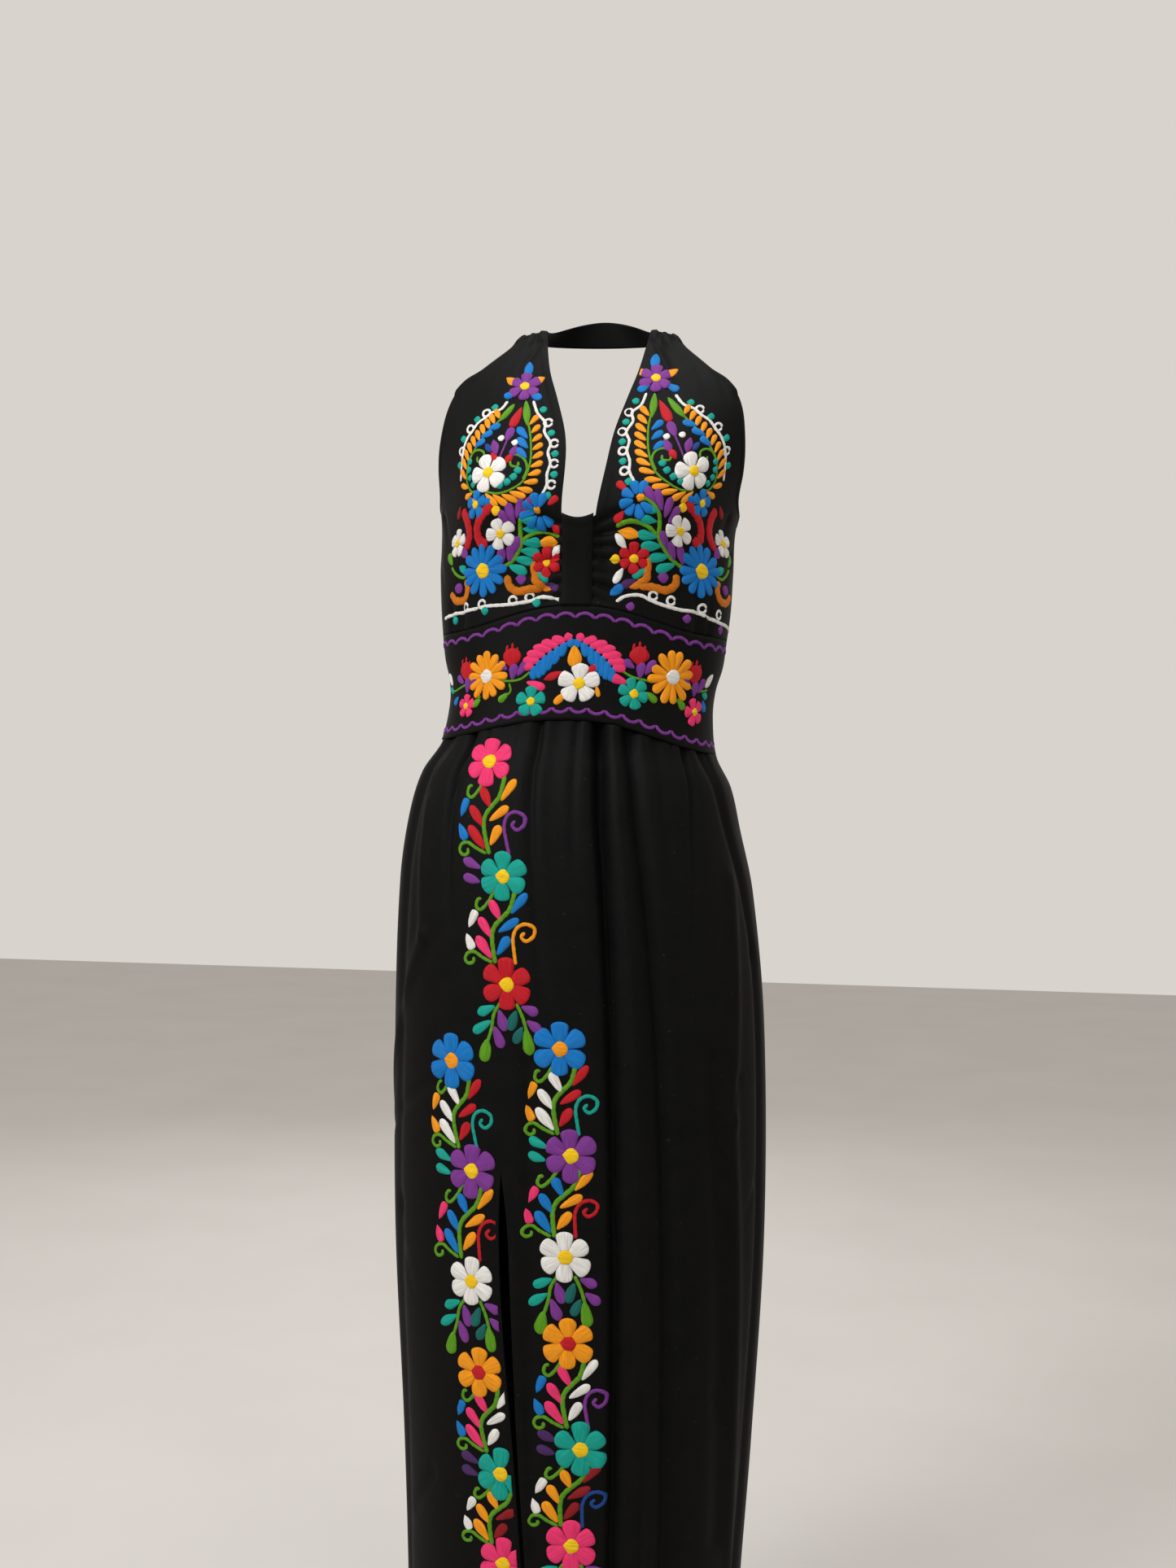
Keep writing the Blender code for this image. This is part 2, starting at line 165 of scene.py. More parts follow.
# Folds, from where each starts to where it ends: depth is inward, so a ridge is negative
Fold = namedtuple("Fold", "turn height end_turn end_height depth end_depth width")
CUP_FOLDS = (
    Fold(8, -0.232, 27, -0.208, 0.0036, 0.0000, 0.0064),
    Fold(8, -0.240, 30, -0.238, 0.0035, 0.0000, 0.0055),
    Fold(8, -0.252, 28, -0.264, 0.0035, 0.0000, 0.0055),
    Fold(9, -0.268, 24, -0.290, 0.0030, 0.0005, 0.0050),
    Fold(9, -0.288, 18, -0.312, 0.0025, 0.0010, 0.0045),
    Fold(53, -0.330, 47, -0.268, 0.0045, 0.0000, 0.0065),
    Fold(61, -0.330, 58, -0.285, 0.0030, 0.0000, 0.0055),
)
CUP_CREASES = (
    Fold(5, -0.231, 24, -0.206, 0.0040, 0.0000, 0.0036),
    Fold(5, -0.241, 34, -0.224, 0.0050, 0.0000, 0.0040),
    Fold(5, -0.252, 18, -0.249, 0.0032, 0.0000, 0.0032),
    Fold(5, -0.262, 29, -0.271, 0.0046, 0.0000, 0.0038),
    Fold(5, -0.275, 15, -0.283, 0.0030, 0.0000, 0.0032),
    Fold(5, -0.287, 22, -0.303, 0.0038, 0.0000, 0.0036),
    Fold(5, -0.300, 13, -0.311, 0.0028, 0.0000, 0.0032),
    Fold(19, -0.030, 26, -0.125, 0.0040, 0.0004, 0.0045),
    Fold(25, -0.030, 34, -0.105, -0.0024, 0.0000, 0.0050),
    Fold(31, -0.030, 46, -0.100, 0.0040, 0.0000, 0.0048),
    Fold(50, -0.090, 66, -0.150, 0.0028, 0.0000, 0.0060),
    Fold(70, -0.215, 60, -0.245, 0.0024, 0.0000, 0.0060),
    Fold(80, -0.250, 66, -0.290, 0.0020, 0.0000, 0.0060),
    Fold(44, -0.331, 40, -0.300, 0.0018, 0.0000, 0.0030),
    Fold(57, -0.331, 54, -0.305, 0.0018, 0.0000, 0.0028),
)
FRONT_FOLDS = (
    Fold(11.0, -0.419, 15.5, -1.415, 0.0140, 0.0100, 0.0060),
    Fold(23.5, -0.425, 35.0, -1.415, 0.0090, 0.0070, 0.0095),
    Fold(17.0, -0.425, 24.0, -1.415, -0.0056, -0.0050, 0.0075),
    Fold(36.0, -0.430, 33.0, -0.600, 0.0040, 0.0008, 0.0090),
    Fold(52.0, -0.432, 36.0, -0.680, 0.0060, 0.0000, 0.0065),
    Fold(45.0, -0.740, 56.0, -1.200, 0.0040, 0.0030, 0.0130),
    Fold(62.0, -0.560, 54.0, -0.800, -0.0030, -0.0036, 0.0095),
    Fold(54.0, -0.800, 68.0, -1.330, -0.0036, -0.0020, 0.0095),
    Fold(64.0, -0.434, 76.0, -0.640, 0.0055, 0.0045, 0.0090),
    Fold(76.0, -0.640, 72.0, -1.415, 0.0050, 0.0035, 0.0100),
    Fold(-3.0, -0.420, -1.0, -0.600, 0.0026, 0.0000, 0.0090),
    Fold(-10.0, -0.422, -4.0, -0.700, 0.0050, 0.0006, 0.0048),
    Fold(-24.0, -0.428, -24.0, -0.540, 0.0022, 0.0000, 0.0090),
    Fold(-42.0, -0.432, -32.0, -0.680, 0.0070, 0.0000, 0.0060),
    Fold(-52.0, -0.500, -48.0, -0.630, -0.0026, -0.0028, 0.0080),
    Fold(-48.0, -0.630, -84.0, -0.800, -0.0028, -0.0010, 0.0090),
    Fold(-62.0, -0.434, -66.0, -0.900, 0.0050, 0.0015, 0.0110),
    Fold(-66.0, -0.900, -74.0, -1.415, 0.0035, 0.0040, 0.0130),
    Fold(-80.0, -0.436, -84.0, -0.760, 0.0045, 0.0000, 0.0110),
    Fold(-8.5, -0.740, -8.0, -1.220, 0.0028, 0.0018, 0.0060),
)
FRONT_CREASES = (
    Fold(12.0, -0.419, 14.0, -0.640, 0.0030, 0.0000, 0.0026),
    Fold(3.0, -0.419, 3.5, -0.590, 0.0040, 0.0000, 0.0026),
    Fold(26.0, -0.428, 26.0, -0.475, 0.0026, 0.0000, 0.0032),
    Fold(44.0, -0.431, 42.0, -0.480, 0.0024, 0.0000, 0.0034),
    Fold(53.0, -0.432, 44.0, -0.540, 0.0026, 0.0000, 0.0026),
    Fold(70.0, -0.435, 69.0, -0.485, 0.0026, 0.0000, 0.0036),
    Fold(-10.0, -0.421, -6.5, -0.560, 0.0026, 0.0000, 0.0022),
    Fold(-19.0, -0.426, -20.0, -0.460, 0.0016, 0.0000, 0.0030),
    Fold(-42.5, -0.430, -36.0, -0.560, 0.0030, 0.0000, 0.0024),
    Fold(-33.0, -0.430, -34.0, -0.462, 0.0020, 0.0000, 0.0030),
    Fold(-56.0, -0.434, -55.0, -0.480, 0.0024, 0.0000, 0.0032),
    Fold(-74.0, -0.436, -76.0, -0.482, 0.0022, 0.0000, 0.0034),
    Fold(17.5, -0.640, 21.0, -0.668, 0.0012, 0.0000, 0.0030),
    Fold(18.0, -1.000, 24.0, -1.030, 0.0012, 0.0000, 0.0036),
    Fold(58.0, -0.760, 47.0, -0.830, 0.0016, 0.0000, 0.0060),
    Fold(72.0, -0.860, 60.0, -0.905, 0.0018, 0.0000, 0.0050),
    Fold(-38.0, -0.763, -84.0, -0.836, 0.0022, 0.0010, 0.0060),
    Fold(-64.0, -0.930, -52.0, -0.990, 0.0012, 0.0000, 0.0070),
    Fold(-46.0, -1.150, -72.0, -1.240, 0.0016, 0.0000, 0.0070),
    Fold(50.0, -1.060, 66.0, -1.150, 0.0016, 0.0000, 0.0070),
)
BACK_FOLDS = (
    Fold(98, -0.438, 102, -1.200, 0.0050, 0.0030, 0.0120),
    Fold(112, -0.440, 118, -0.760, 0.0055, 0.0000, 0.0110),
    Fold(127, -0.440, 133, -1.415, 0.0060, 0.0050, 0.0120),
    Fold(142, -0.440, 146, -0.700, 0.0045, 0.0000, 0.0100),
    Fold(156, -0.440, 160, -1.300, 0.0060, 0.0040, 0.0120),
    Fold(171, -0.440, 173, -0.820, 0.0050, 0.0000, 0.0110),
    Fold(186, -0.440, 184, -1.415, 0.0060, 0.0050, 0.0120),
    Fold(200, -0.440, 196, -0.740, 0.0050, 0.0000, 0.0100),
    Fold(216, -0.440, 212, -1.350, 0.0055, 0.0040, 0.0120),
    Fold(233, -0.440, 228, -0.800, 0.0050, 0.0000, 0.0110),
    Fold(248, -0.440, 243, -1.415, 0.0055, 0.0040, 0.0120),
    Fold(261, -0.438, 258, -0.900, 0.0045, 0.0010, 0.0110),
)
BACK_CREASES = (
    Fold(105, -0.439, 104, -0.480, 0.0024, 0.0000, 0.0034),
    Fold(120, -0.440, 121, -0.476, 0.0022, 0.0000, 0.0032),
    Fold(135, -0.440, 134, -0.484, 0.0024, 0.0000, 0.0034),
    Fold(149, -0.440, 150, -0.474, 0.0022, 0.0000, 0.0032),
    Fold(164, -0.440, 163, -0.482, 0.0024, 0.0000, 0.0034),
    Fold(179, -0.440, 180, -0.478, 0.0022, 0.0000, 0.0032),
    Fold(193, -0.440, 192, -0.484, 0.0024, 0.0000, 0.0034),
    Fold(208, -0.440, 209, -0.476, 0.0022, 0.0000, 0.0032),
    Fold(225, -0.440, 224, -0.482, 0.0024, 0.0000, 0.0034),
    Fold(241, -0.440, 242, -0.476, 0.0022, 0.0000, 0.0032),
    Fold(255, -0.439, 254, -0.482, 0.0024, 0.0000, 0.0034),
    Fold(140, -0.800, 158, -0.860, 0.0014, 0.0000, 0.0080),
    Fold(205, -0.930, 188, -1.000, 0.0014, 0.0000, 0.0080),
    Fold(238, -1.080, 252, -1.160, 0.0012, 0.0000, 0.0080),
)


def smooth(table, field, height):
    """One column of a table at each height, on a smooth curve through its rows."""
    down = -np.array([row.height for row in table])
    values = np.array([getattr(row, field) for row in table], float)
    slopes = np.gradient(values) / np.gradient(down)
    at = np.clip(-np.asarray(height, float), down[0], down[-1])
    i = np.clip(np.searchsorted(down, at) - 1, 0, len(down) - 2)
    span = down[i + 1] - down[i]
    t = (at - down[i]) / span
    return (
        values[i] * (2 * t**3 - 3 * t**2 + 1)
        + slopes[i] * span * (t**3 - 2 * t**2 + t)
        + values[i + 1] * (3 * t**2 - 2 * t**3)
        + slopes[i + 1] * span * (t**3 - t**2)
    )


def mix(start, end, share):
    return start + (end - start) * share


def step(start, end, value):
    """0 before start and 1 after end, with a soft rise between them."""
    t = np.clip((value - start) / (end - start), 0, 1)
    return t * t * (3 - 2 * t)


def seam_height(seam, turn):
    facing = np.cos(np.radians(turn))
    ahead = mix(seam.side, seam.front, np.clip(facing, 0, 1) ** seam.arch)
    behind = mix(seam.side, seam.back, facing**2)
    return np.where(facing >= 0, ahead, behind)


def signed_power(value):
    return np.sign(value) * np.abs(value) ** (2 / ROUNDNESS)


def waist_dip(x, height):
    fade = step(-0.310, -0.440, height) * step(-0.780, -0.480, height)
    return WAIST_DIP * step(0.0, DIP_REACH, x) * fade


def body_point(turn, height, inward=0.0):
    """Points of the cloth's inner face, moved inward by the depth of their folds."""
    turn, height = np.broadcast_arrays(np.asarray(turn, float), np.asarray(height, float))
    centre = smooth(SECTIONS, "centre", height)
    side, facing = np.sin(np.radians(turn)), np.cos(np.radians(turn))
    front, back = smooth(SECTIONS, "front", height), smooth(SECTIONS, "back", height)
    reach = np.abs(np.where(facing > 0, front, back) - centre)
    above = np.where(height > CUP_HEIGHT, CUP_ABOVE, CUP_BELOW)
    rise = np.exp(-(((height - CUP_HEIGHT) / above) ** 2))
    cups = sum(np.exp(-(((turn - way * CUP_TURN) / CUP_SPREAD) ** 2)) for way in (1, -1))
    cup = np.where(facing > 0, CUP_DEPTH * rise * cups, 0.0)
    x = smooth(SECTIONS, "sway", height) + smooth(SECTIONS, "half_width", height) * signed_power(side)
    turned = [smooth(BODICE_TURN, field, height) for field in ("side", "front")]
    x = x + mix(*turned, np.clip(facing, 0, 1) ** 2)
    y = centre - reach * signed_power(facing)
    z = height - waist_dip(x, height)
    return np.stack([x + side * (CUP_SPREADING * cup - inward), y - facing * (cup - inward), z], -1)


def fold_depth(folds, turn, height):
    """How far the folds take the cloth inward: each is a soft trough along a line."""
    radius = smooth(SECTIONS, "half_width", height)
    across = np.radians(turn) * radius
    depth = np.zeros(np.shape(across))
    for fold in folds:
        start = np.radians(fold.turn) * radius
        along = np.radians(fold.end_turn) * radius - start
        fall = fold.end_height - fold.height
        share = ((across - start) * along + (height - fold.height) * fall) / (along**2 + fall**2)
        share = np.clip(share, 0, 1)
        away = (across - start - along * share) ** 2 + (height - fold.height - fall * share) ** 2
        depth += mix(fold.depth, fold.end_depth, share) * np.exp(-away / fold.width**2)
    return depth


def turn_at(reach, height):
    share = np.minimum(reach / smooth(SECTIONS, "half_width", height), 1.0)
    return np.degrees(np.arcsin(share ** (ROUNDNESS / 2)))


def side_seam_turn(height):
    """Where front and back meet: each wraps a little past the side, so the seam is shut."""
    return 90 + np.degrees(SEAM_WRAP / smooth(SECTIONS, "half_width", height))


class Surface:
    """The cloth with its folds: gives points at a lift above its inner face."""

    def __init__(self, folds, mirrored=False):
        self.folds = folds
        self.mirrored = mirrored

    def inner(self, turn, height):
        at = np.abs(turn) if self.mirrored else turn
        return body_point(turn, height, fold_depth(self.folds, at, height))

    def lifted(self, turn, height, lift):
        small_turn, small_height = 0.25, 0.0008
        round_it = self.inner(turn + small_turn, height) - self.inner(turn - small_turn, height)
        down = self.inner(turn, height - small_height) - self.inner(turn, height + small_height)
        normal = np.cross(down, round_it)
        normal /= np.linalg.norm(normal, axis=-1, keepdims=True)
        return self.inner(turn, height) + normal * np.asarray(lift)[..., None]


class Reach:
    """Turns a distance round the cloth from centre front into a turn, at any height."""

    STEP = 0.004
    SPACING = 0.001
    LIMIT = 0.330

    def __init__(self, top, bottom):
        self.top = top
        self.heights = np.arange(top, bottom - self.STEP, -self.STEP)
        turns = np.linspace(-110, 110, 441)
        points = body_point(turns[None], self.heights[:, None])
        steps = np.linalg.norm(np.diff(points, axis=1), axis=2)
        arcs = np.concatenate([np.zeros((len(points), 1)), np.cumsum(steps, axis=1)], axis=1)
        arcs -= arcs[:, [len(turns) // 2]]
        reaches = np.arange(-self.LIMIT, self.LIMIT + self.SPACING, self.SPACING)
        self.turns = np.stack([np.interp(reaches, row, turns) for row in arcs])

    def turn(self, reach, height):
        row = np.clip((self.top - height) / self.STEP, 0, len(self.heights) - 1.001)
        column = np.clip((reach + self.LIMIT) / self.SPACING, 0, self.turns.shape[1] - 1.001)
        i, j = row.astype(int), column.astype(int)
        a, b = row - i, column - j
        upper = mix(self.turns[i, j], self.turns[i, j + 1], b)
        lower = mix(self.turns[i + 1, j], self.turns[i + 1, j + 1], b)
        return mix(upper, lower, a)


class Value:
    """A shader socket that adds Math nodes when it is used in a Python expression."""

    def __init__(self, tree, socket):
        self.tree = tree
        self.socket = socket

    def math(self, operation, *others):
        node = self.tree.nodes.new("ShaderNodeMath")
        node.operation = operation
        for slot, value in zip(node.inputs, (self, *others)):
            plug(self.tree, slot, value)
        return Value(self.tree, node.outputs[0])

    def __add__(self, other):
        return self.math("ADD", other)

    def __sub__(self, other):
        return self.math("SUBTRACT", other)

    def __rsub__(self, other):
        return (self * -1.0) + other

    def __mul__(self, other):
        return self.math("MULTIPLY", other)

    def __truediv__(self, other):
        return self.math("DIVIDE", other)

    def __pow__(self, other):
        return self.math("POWER", other)

    __radd__ = __add__
    __rmul__ = __mul__


def plug(tree, slot, value):
    """Links a shader value to a socket, or sets the socket's own number or colour."""
    if isinstance(value, Value):
        tree.links.new(value.socket, slot)
    else:
        slot.default_value = value


class Paint:
    """A material's nodes, made around one Principled shader."""

    def __init__(self, name, **constants):
        self.material = bpy.data.materials.new(name)
        self.material.use_nodes = True
        self.tree = self.material.node_tree
        self.shader = self.tree.nodes["Principled BSDF"]
        for socket, value in constants.items():
            self.shader.inputs[socket.replace("_", " ").title().replace("Ior", "IOR")].default_value = value

    def node(self, kind, settings=None, output=0, **sockets):
        node = self.tree.nodes.new(f"ShaderNode{kind}")
        for key, value in (settings or {}).items():
            setattr(node, key, value)
        for key, value in sockets.items():
            names = [slot.name.lower().replace(" ", "_") for slot in node.inputs]
            plug(self.tree, node.inputs[names.index(key)], value)
        return Value(self.tree, node.outputs[output])

    def uv(self):
        """The cloth's own metres: x round the cloth, y down it."""
        return self.node("UVMap")

    def stretched(self, x, y):
        return self.node("Mapping", vector=self.uv(), scale=(x, y, 1.0))

    def noise(self, vector, scale=1.0, detail=2.0, roughness=0.5):
        return self.node("TexNoise", None, "Fac", vector=vector, scale=scale, detail=detail, roughness=roughness)

    def blend(self, share, first, second):
        node = self.tree.nodes.new("ShaderNodeMix")
        node.data_type = "RGBA"
        plug(self.tree, node.inputs["Factor"], share)
        plug(self.tree, node.inputs[6], first)
        plug(self.tree, node.inputs[7], second)
        return Value(self.tree, node.outputs[2])

    def ramp(self, share, low, high):
        """0 below low and 1 above high."""
        return self.node("MapRange", {"clamp": True}, value=share, from_min=low, from_max=high)

    def bump(self, height, distance, strength=1.0):
        normal = self.node("Bump", height=height, distance=distance, strength=strength)
        plug(self.tree, self.shader.inputs["Normal"], normal)

    def finish(self, **sockets):
        for socket, value in sockets.items():
            plug(self.tree, self.shader.inputs[socket.replace("_", " ").title()], value)
        return self.material


CLOTH_BLACK = (0.0007, 0.0007, 0.0008, 1.0)
CLOTH_WORN = (0.0050, 0.0047, 0.0045, 1.0)


def black_cloth():
    """Matt black woven cloth: fine crossed threads, faint mottling, a little lint and a soft sheen."""
    paint = Paint("black cloth", sheen_weight=0.003, sheen_roughness=0.45, specular_ior_level=0.08)
    warp = paint.noise(paint.stretched(1500.0, 90.0), detail=3.0)
    weft = paint.noise(paint.stretched(90.0, 1500.0), detail=3.0)
    mottling = paint.noise(paint.uv(), scale=38.0, detail=4.0)
    lint = paint.ramp(paint.noise(paint.stretched(260.0, 260.0), detail=0.0), 0.83, 0.86)
    weave = (warp + weft) * 0.5
    shade = paint.ramp(weave * 0.6 + mottling * 0.4, 0.38, 0.66)
    base = paint.blend(shade * 0.55, CLOTH_BLACK, CLOTH_WORN)
    colour = paint.blend(lint * 0.08, base, (0.12, 0.11, 0.10, 1.0))
    rough = 0.54 + mottling * 0.16
    paint.bump(weave + mottling * 0.35, distance=0.0004, strength=0.40)
    return paint.finish(base_color=colour, roughness=rough)


# Thread colours, as display red, green and blue
THREADS = {
    "pink": (236, 52, 112),
    "red": (190, 14, 30),
    "dark_red": (140, 14, 24),
    "orange": (242, 152, 14),
    "yellow": (244, 200, 14),
    "dark_orange": (206, 114, 8),
    "teal": (4, 158, 142),
    "dark_teal": (14, 98, 94),
    "blue": (4, 116, 194),
    "dark_blue": (20, 66, 140),
    "purple": (122, 52, 142),
    "dark_purple": (70, 34, 92),
    "green": (88, 150, 18),
    "white": (232, 230, 226),
}
STITCH = 0.00085


def linear(display):
    parts = [value / 255 for value in display]
    return tuple(((p + 0.055) / 1.055) ** 2.4 if p > 0.04 else p / 12.92 for p in parts) + (1.0,)


def thread(name):
    """Satin-stitched thread: close parallel stitches, with painted highlight on their crowns and painted shade in the
    grooves between, over random patches of lighter and darker tone.
    """
    paint = Paint(f"{name} thread", sheen_weight=0.015, sheen_roughness=0.35, specular_ior_level=0.14)
    colour = linear(THREADS[name])
    # Painted shade for the grooves between stitches and painted highlight for their crowns, as two copies of the thread
    # colour
    groove_shade = tuple(part * 0.45 for part in colour[:3]) + (1.0,)
    crown_highlight = tuple(min(part * 1.10 + 0.006, 1.0) for part in colour[:3]) + (1.0,)
    across = paint.node("SeparateXYZ", output=1, vector=paint.uv())
    wobble = paint.noise(paint.stretched(90.0, 260.0), detail=2.0)
    phase = across * (2 * math.pi / STITCH) + wobble * 5.0
    ridge = phase.math("SINE") * 0.5 + 0.5
    patch = paint.noise(paint.stretched(60.0, 700.0), detail=2.0)
    # Painted stitch shading: the ridge stripes lighten the crowns and darken the grooves, and the patches add random
    # tone
    shade = paint.ramp(ridge * 0.45 + patch * 0.75, 0.25, 0.85)
    paint.bump(ridge + patch * 0.4, distance=0.00028, strength=0.8)
    return paint.finish(base_color=paint.blend(shade, groove_shade, crown_highlight), roughness=0.5 + patch * 0.2)


def mesh_object(name, points, uvs, faces, material_of=None, materials=()):
    """A mesh with its own cloth coordinates, from arrays of points and lists of faces."""
    mesh = bpy.data.meshes.new(name)
    mesh.from_pydata(points.tolist(), [], faces)
    layer = mesh.uv_layers.new(name="UVMap")
    corners = np.zeros(len(mesh.loops), np.int32)
    mesh.loops.foreach_get("vertex_index", corners)
    layer.data.foreach_set("uv", uvs[corners].astype(np.float32).ravel())
    for material in materials:
        mesh.materials.append(material)
    if material_of is not None:
        mesh.polygons.foreach_set("material_index", np.asarray(material_of, np.int32))
    mesh.shade_smooth()
    mesh.update()
    piece = bpy.data.objects.new(name, mesh)
    bpy.context.scene.collection.objects.link(piece)
    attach(piece, "root")
    return piece


def grid_faces(index):
    """Faces of a grid of vertex numbers whose rows run down and columns towards +X."""
    corners = (index[:-1, :-1], index[1:, :-1], index[1:, 1:], index[:-1, 1:])
    return np.stack([c.ravel() for c in corners], axis=1).tolist()


def cloth_shell(name, nodes, grids, material, joined_rows=0):
    """Thin cloth in place of CAD nodes, from grids of (points, uvs) that may share their top rows' seam."""
    count, indices = 0, []
    for points, _ in grids:
        size = points.shape[0] * points.shape[1]
        indices.append(count + np.arange(size).reshape(points.shape[:2]))
        count += size
    if joined_rows:
        indices[1][:joined_rows, 0] = indices[0][:joined_rows, -1]
    all_points = np.concatenate([points.reshape(-1, 3) for points, _ in grids])
    all_uvs = np.concatenate([uvs.reshape(-1, 2) for _, uvs in grids])
    used, compact = np.unique(np.concatenate([i.ravel() for i in indices]), return_inverse=True)
    faces, start = [], 0
    for index in indices:
        part = compact[start : start + index.size].reshape(index.shape)
        faces += grid_faces(part)
        start += index.size
    piece = mesh_object(name, all_points[used], all_uvs[used], faces, materials=(material,))
    wall = piece.modifiers.new("Cloth wall", "SOLIDIFY")
    wall.thickness = CLOTH
    wall.offset = 1.0
    wall.use_quality_normals = True
    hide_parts(*nodes)
    return piece


HEM_STEPS = (0.0, 0.0008, 0.0035, 0.0062, 0.0072, 0.0084)


def with_hem_columns(start, end, radius, count, left_hem=True, right_hem=True):
    """Turns across each row, close together at hemmed edges, and their distances from both edges."""
    fine = np.degrees(np.array(HEM_STEPS)[None] / radius[:, None])
    left = start[:, None] + fine if left_hem else start[:, None]
    right = end[:, None] - fine[:, ::-1] if right_hem else end[:, None]
    shares = np.linspace(0, 1, count + 1)[None, 1:-1]
    middle = mix(left[:, [-1]], right[:, [0]], shares)
    turns = np.concatenate([left, middle, right], axis=1)
    scale = np.radians(1.0) * radius[:, None]
    return turns, (turns - start[:, None]) * scale, (end[:, None] - turns) * scale


def hem_lift(distance, edge=HEM_EDGE):
    """The turned hem's extra thickness near an edge."""
    return HEM_LIFT * (1 - step(edge - 0.0004, edge + 0.0010, distance))


def cloth_uv(turn, height):
    return np.stack([np.radians(turn) * smooth(SECTIONS, "half_width", height), height], axis=-1)


def panel_limits(height, side=1):
    nearer = RIGHT_NEARER.reach * np.exp(-(((height - RIGHT_NEARER.height) / RIGHT_NEARER_SPAN) ** 2))
    inner = turn_at(smooth(NECKLINE, "reach", height) - (nearer if side < 0 else 0.0), height)
    outer = turn_at(smooth(ARMHOLE, "reach", height), height)
    return inner, np.minimum(outer, side_seam_turn(height))


def panel_height(u, v):
    top = mix(PANEL_TOP_INNER, PANEL_TOP_OUTER, u)
    return mix(top, mix(NECK_BOTTOM, UNDERARM, u), v)


def halter_grid(side):
    """A front's points from the neck band to the waistband, with hems at the neck and armhole."""
    above = np.linspace(0, 1, 96)
    below = np.linspace(0, 1, 46)[1:]
    middle = panel_height(0.5, above)
    inner, outer = panel_limits(middle, side)
    span = np.radians(outer - inner) * smooth(SECTIONS, "half_width", middle)
    fine = np.array(HEM_STEPS)[None] / span[:, None]
    shares = mix(fine[:, [-1]], 1 - fine[:, [-1]], np.linspace(0, 1, 62)[None, 1:-1])
    u = np.concatenate([fine, shares, 1 - fine[:, ::-1]], axis=1)
    height = panel_height(u, above[:, None])
    inner, outer = panel_limits(height, side)
    turn = mix(inner, outer, u)
    fade = 1 - step(0.94, 1.0, above)[:, None]
    lift = (hem_lift(u * span[:, None]) + hem_lift((1 - u) * span[:, None])) * fade
    gather = np.exp(-(((PANEL_TOP_INNER - height) / STRAP_GATHER_FADE) ** 2))
    lift = lift - STRAP_GATHER_DEPTH * gather * np.cos(2 * math.pi * STRAP_GATHERS * u)

    low_u = u[-1][None].repeat(len(below), axis=0)
    start = panel_height(low_u, 1.0)
    tab_edge = TAB_HALF_WIDTH - TAB_OVER_FRONTS
    seam_turn = mix(turn_at(tab_edge, start), side_seam_turn(start), low_u)
    low_height = mix(start, seam_height(BAND_TOP, seam_turn) + HOLLOW_SEAM_GAP, below[:, None])
    low_turn = mix(turn_at(tab_edge, low_height), side_seam_turn(low_height), low_u)
    first = mix(turn_at(tab_edge, start[:1]), side_seam_turn(start[:1]), low_u[:1])
    turn[-1] = first[0]

    turn = np.concatenate([turn, low_turn]) * side
    height = np.concatenate([height, low_height])
    lift = np.concatenate([lift, np.zeros_like(low_height)])
    order = slice(None, None, side)
    surface = Surface(CUP_FOLDS + CUP_CREASES, mirrored=True)
    points = surface.lifted(turn[:, order], height[:, order], lift[:, order])
    return points, cloth_uv(turn[:, order], height[:, order])


def strip_grid(surface, turns, upper, lower, row_count, hem_rows=False):
    """A strip of cloth between two seam lines; hem_rows gives its upper edge a turned hem."""
    shares = np.linspace(0, 1, row_count)[:, None]
    if hem_rows:
        fall = float(np.mean(upper - lower))
        fine = np.array(HEM_STEPS)[:, None] / fall
        shares = np.concatenate([fine, mix(fine[-1:], 1.0, shares[1:])])
    height = mix(upper[None], lower[None], shares)
    turn = np.broadcast_to(turns[None], height.shape)
    lift = hem_lift(upper[None] - height) if hem_rows else np.zeros_like(height)
    return surface.lifted(turn, height, lift), cloth_uv(turn, height)


def plain_surface():
    return Surface(())


def tab_grid():
    """The upright strip at centre front, which lies over both fronts' gathered edges."""
    across = np.sin(np.linspace(-math.pi / 2, math.pi / 2, 22))
    shares = np.linspace(0, 1, 40)[:, None]
    top = NECK_BOTTOM + TAB_CORNER_RISE * across**2
    low = float(seam_height(BAND_TOP, 0.0)) + HOLLOW_SEAM_GAP
    height = mix(top[None], low, shares)
    waist = 1 - 0.04 * np.sin(math.pi * shares)
    turn = turn_at(TAB_HALF_WIDTH * np.abs(across) * waist, height) * np.sign(across)
    lift = TAB_LIFT * (1 - across**6) + hem_lift(top[None] - height)
    return plain_surface().lifted(turn, height, lift), cloth_uv(turn, height)


def front_turns(height, count):
    limit = float(side_seam_turn(height))
    return np.linspace(-limit, limit, count)


def back_turns(height, count):
    limit = float(side_seam_turn(height))
    return np.linspace(180 - limit, 180 + limit, count)


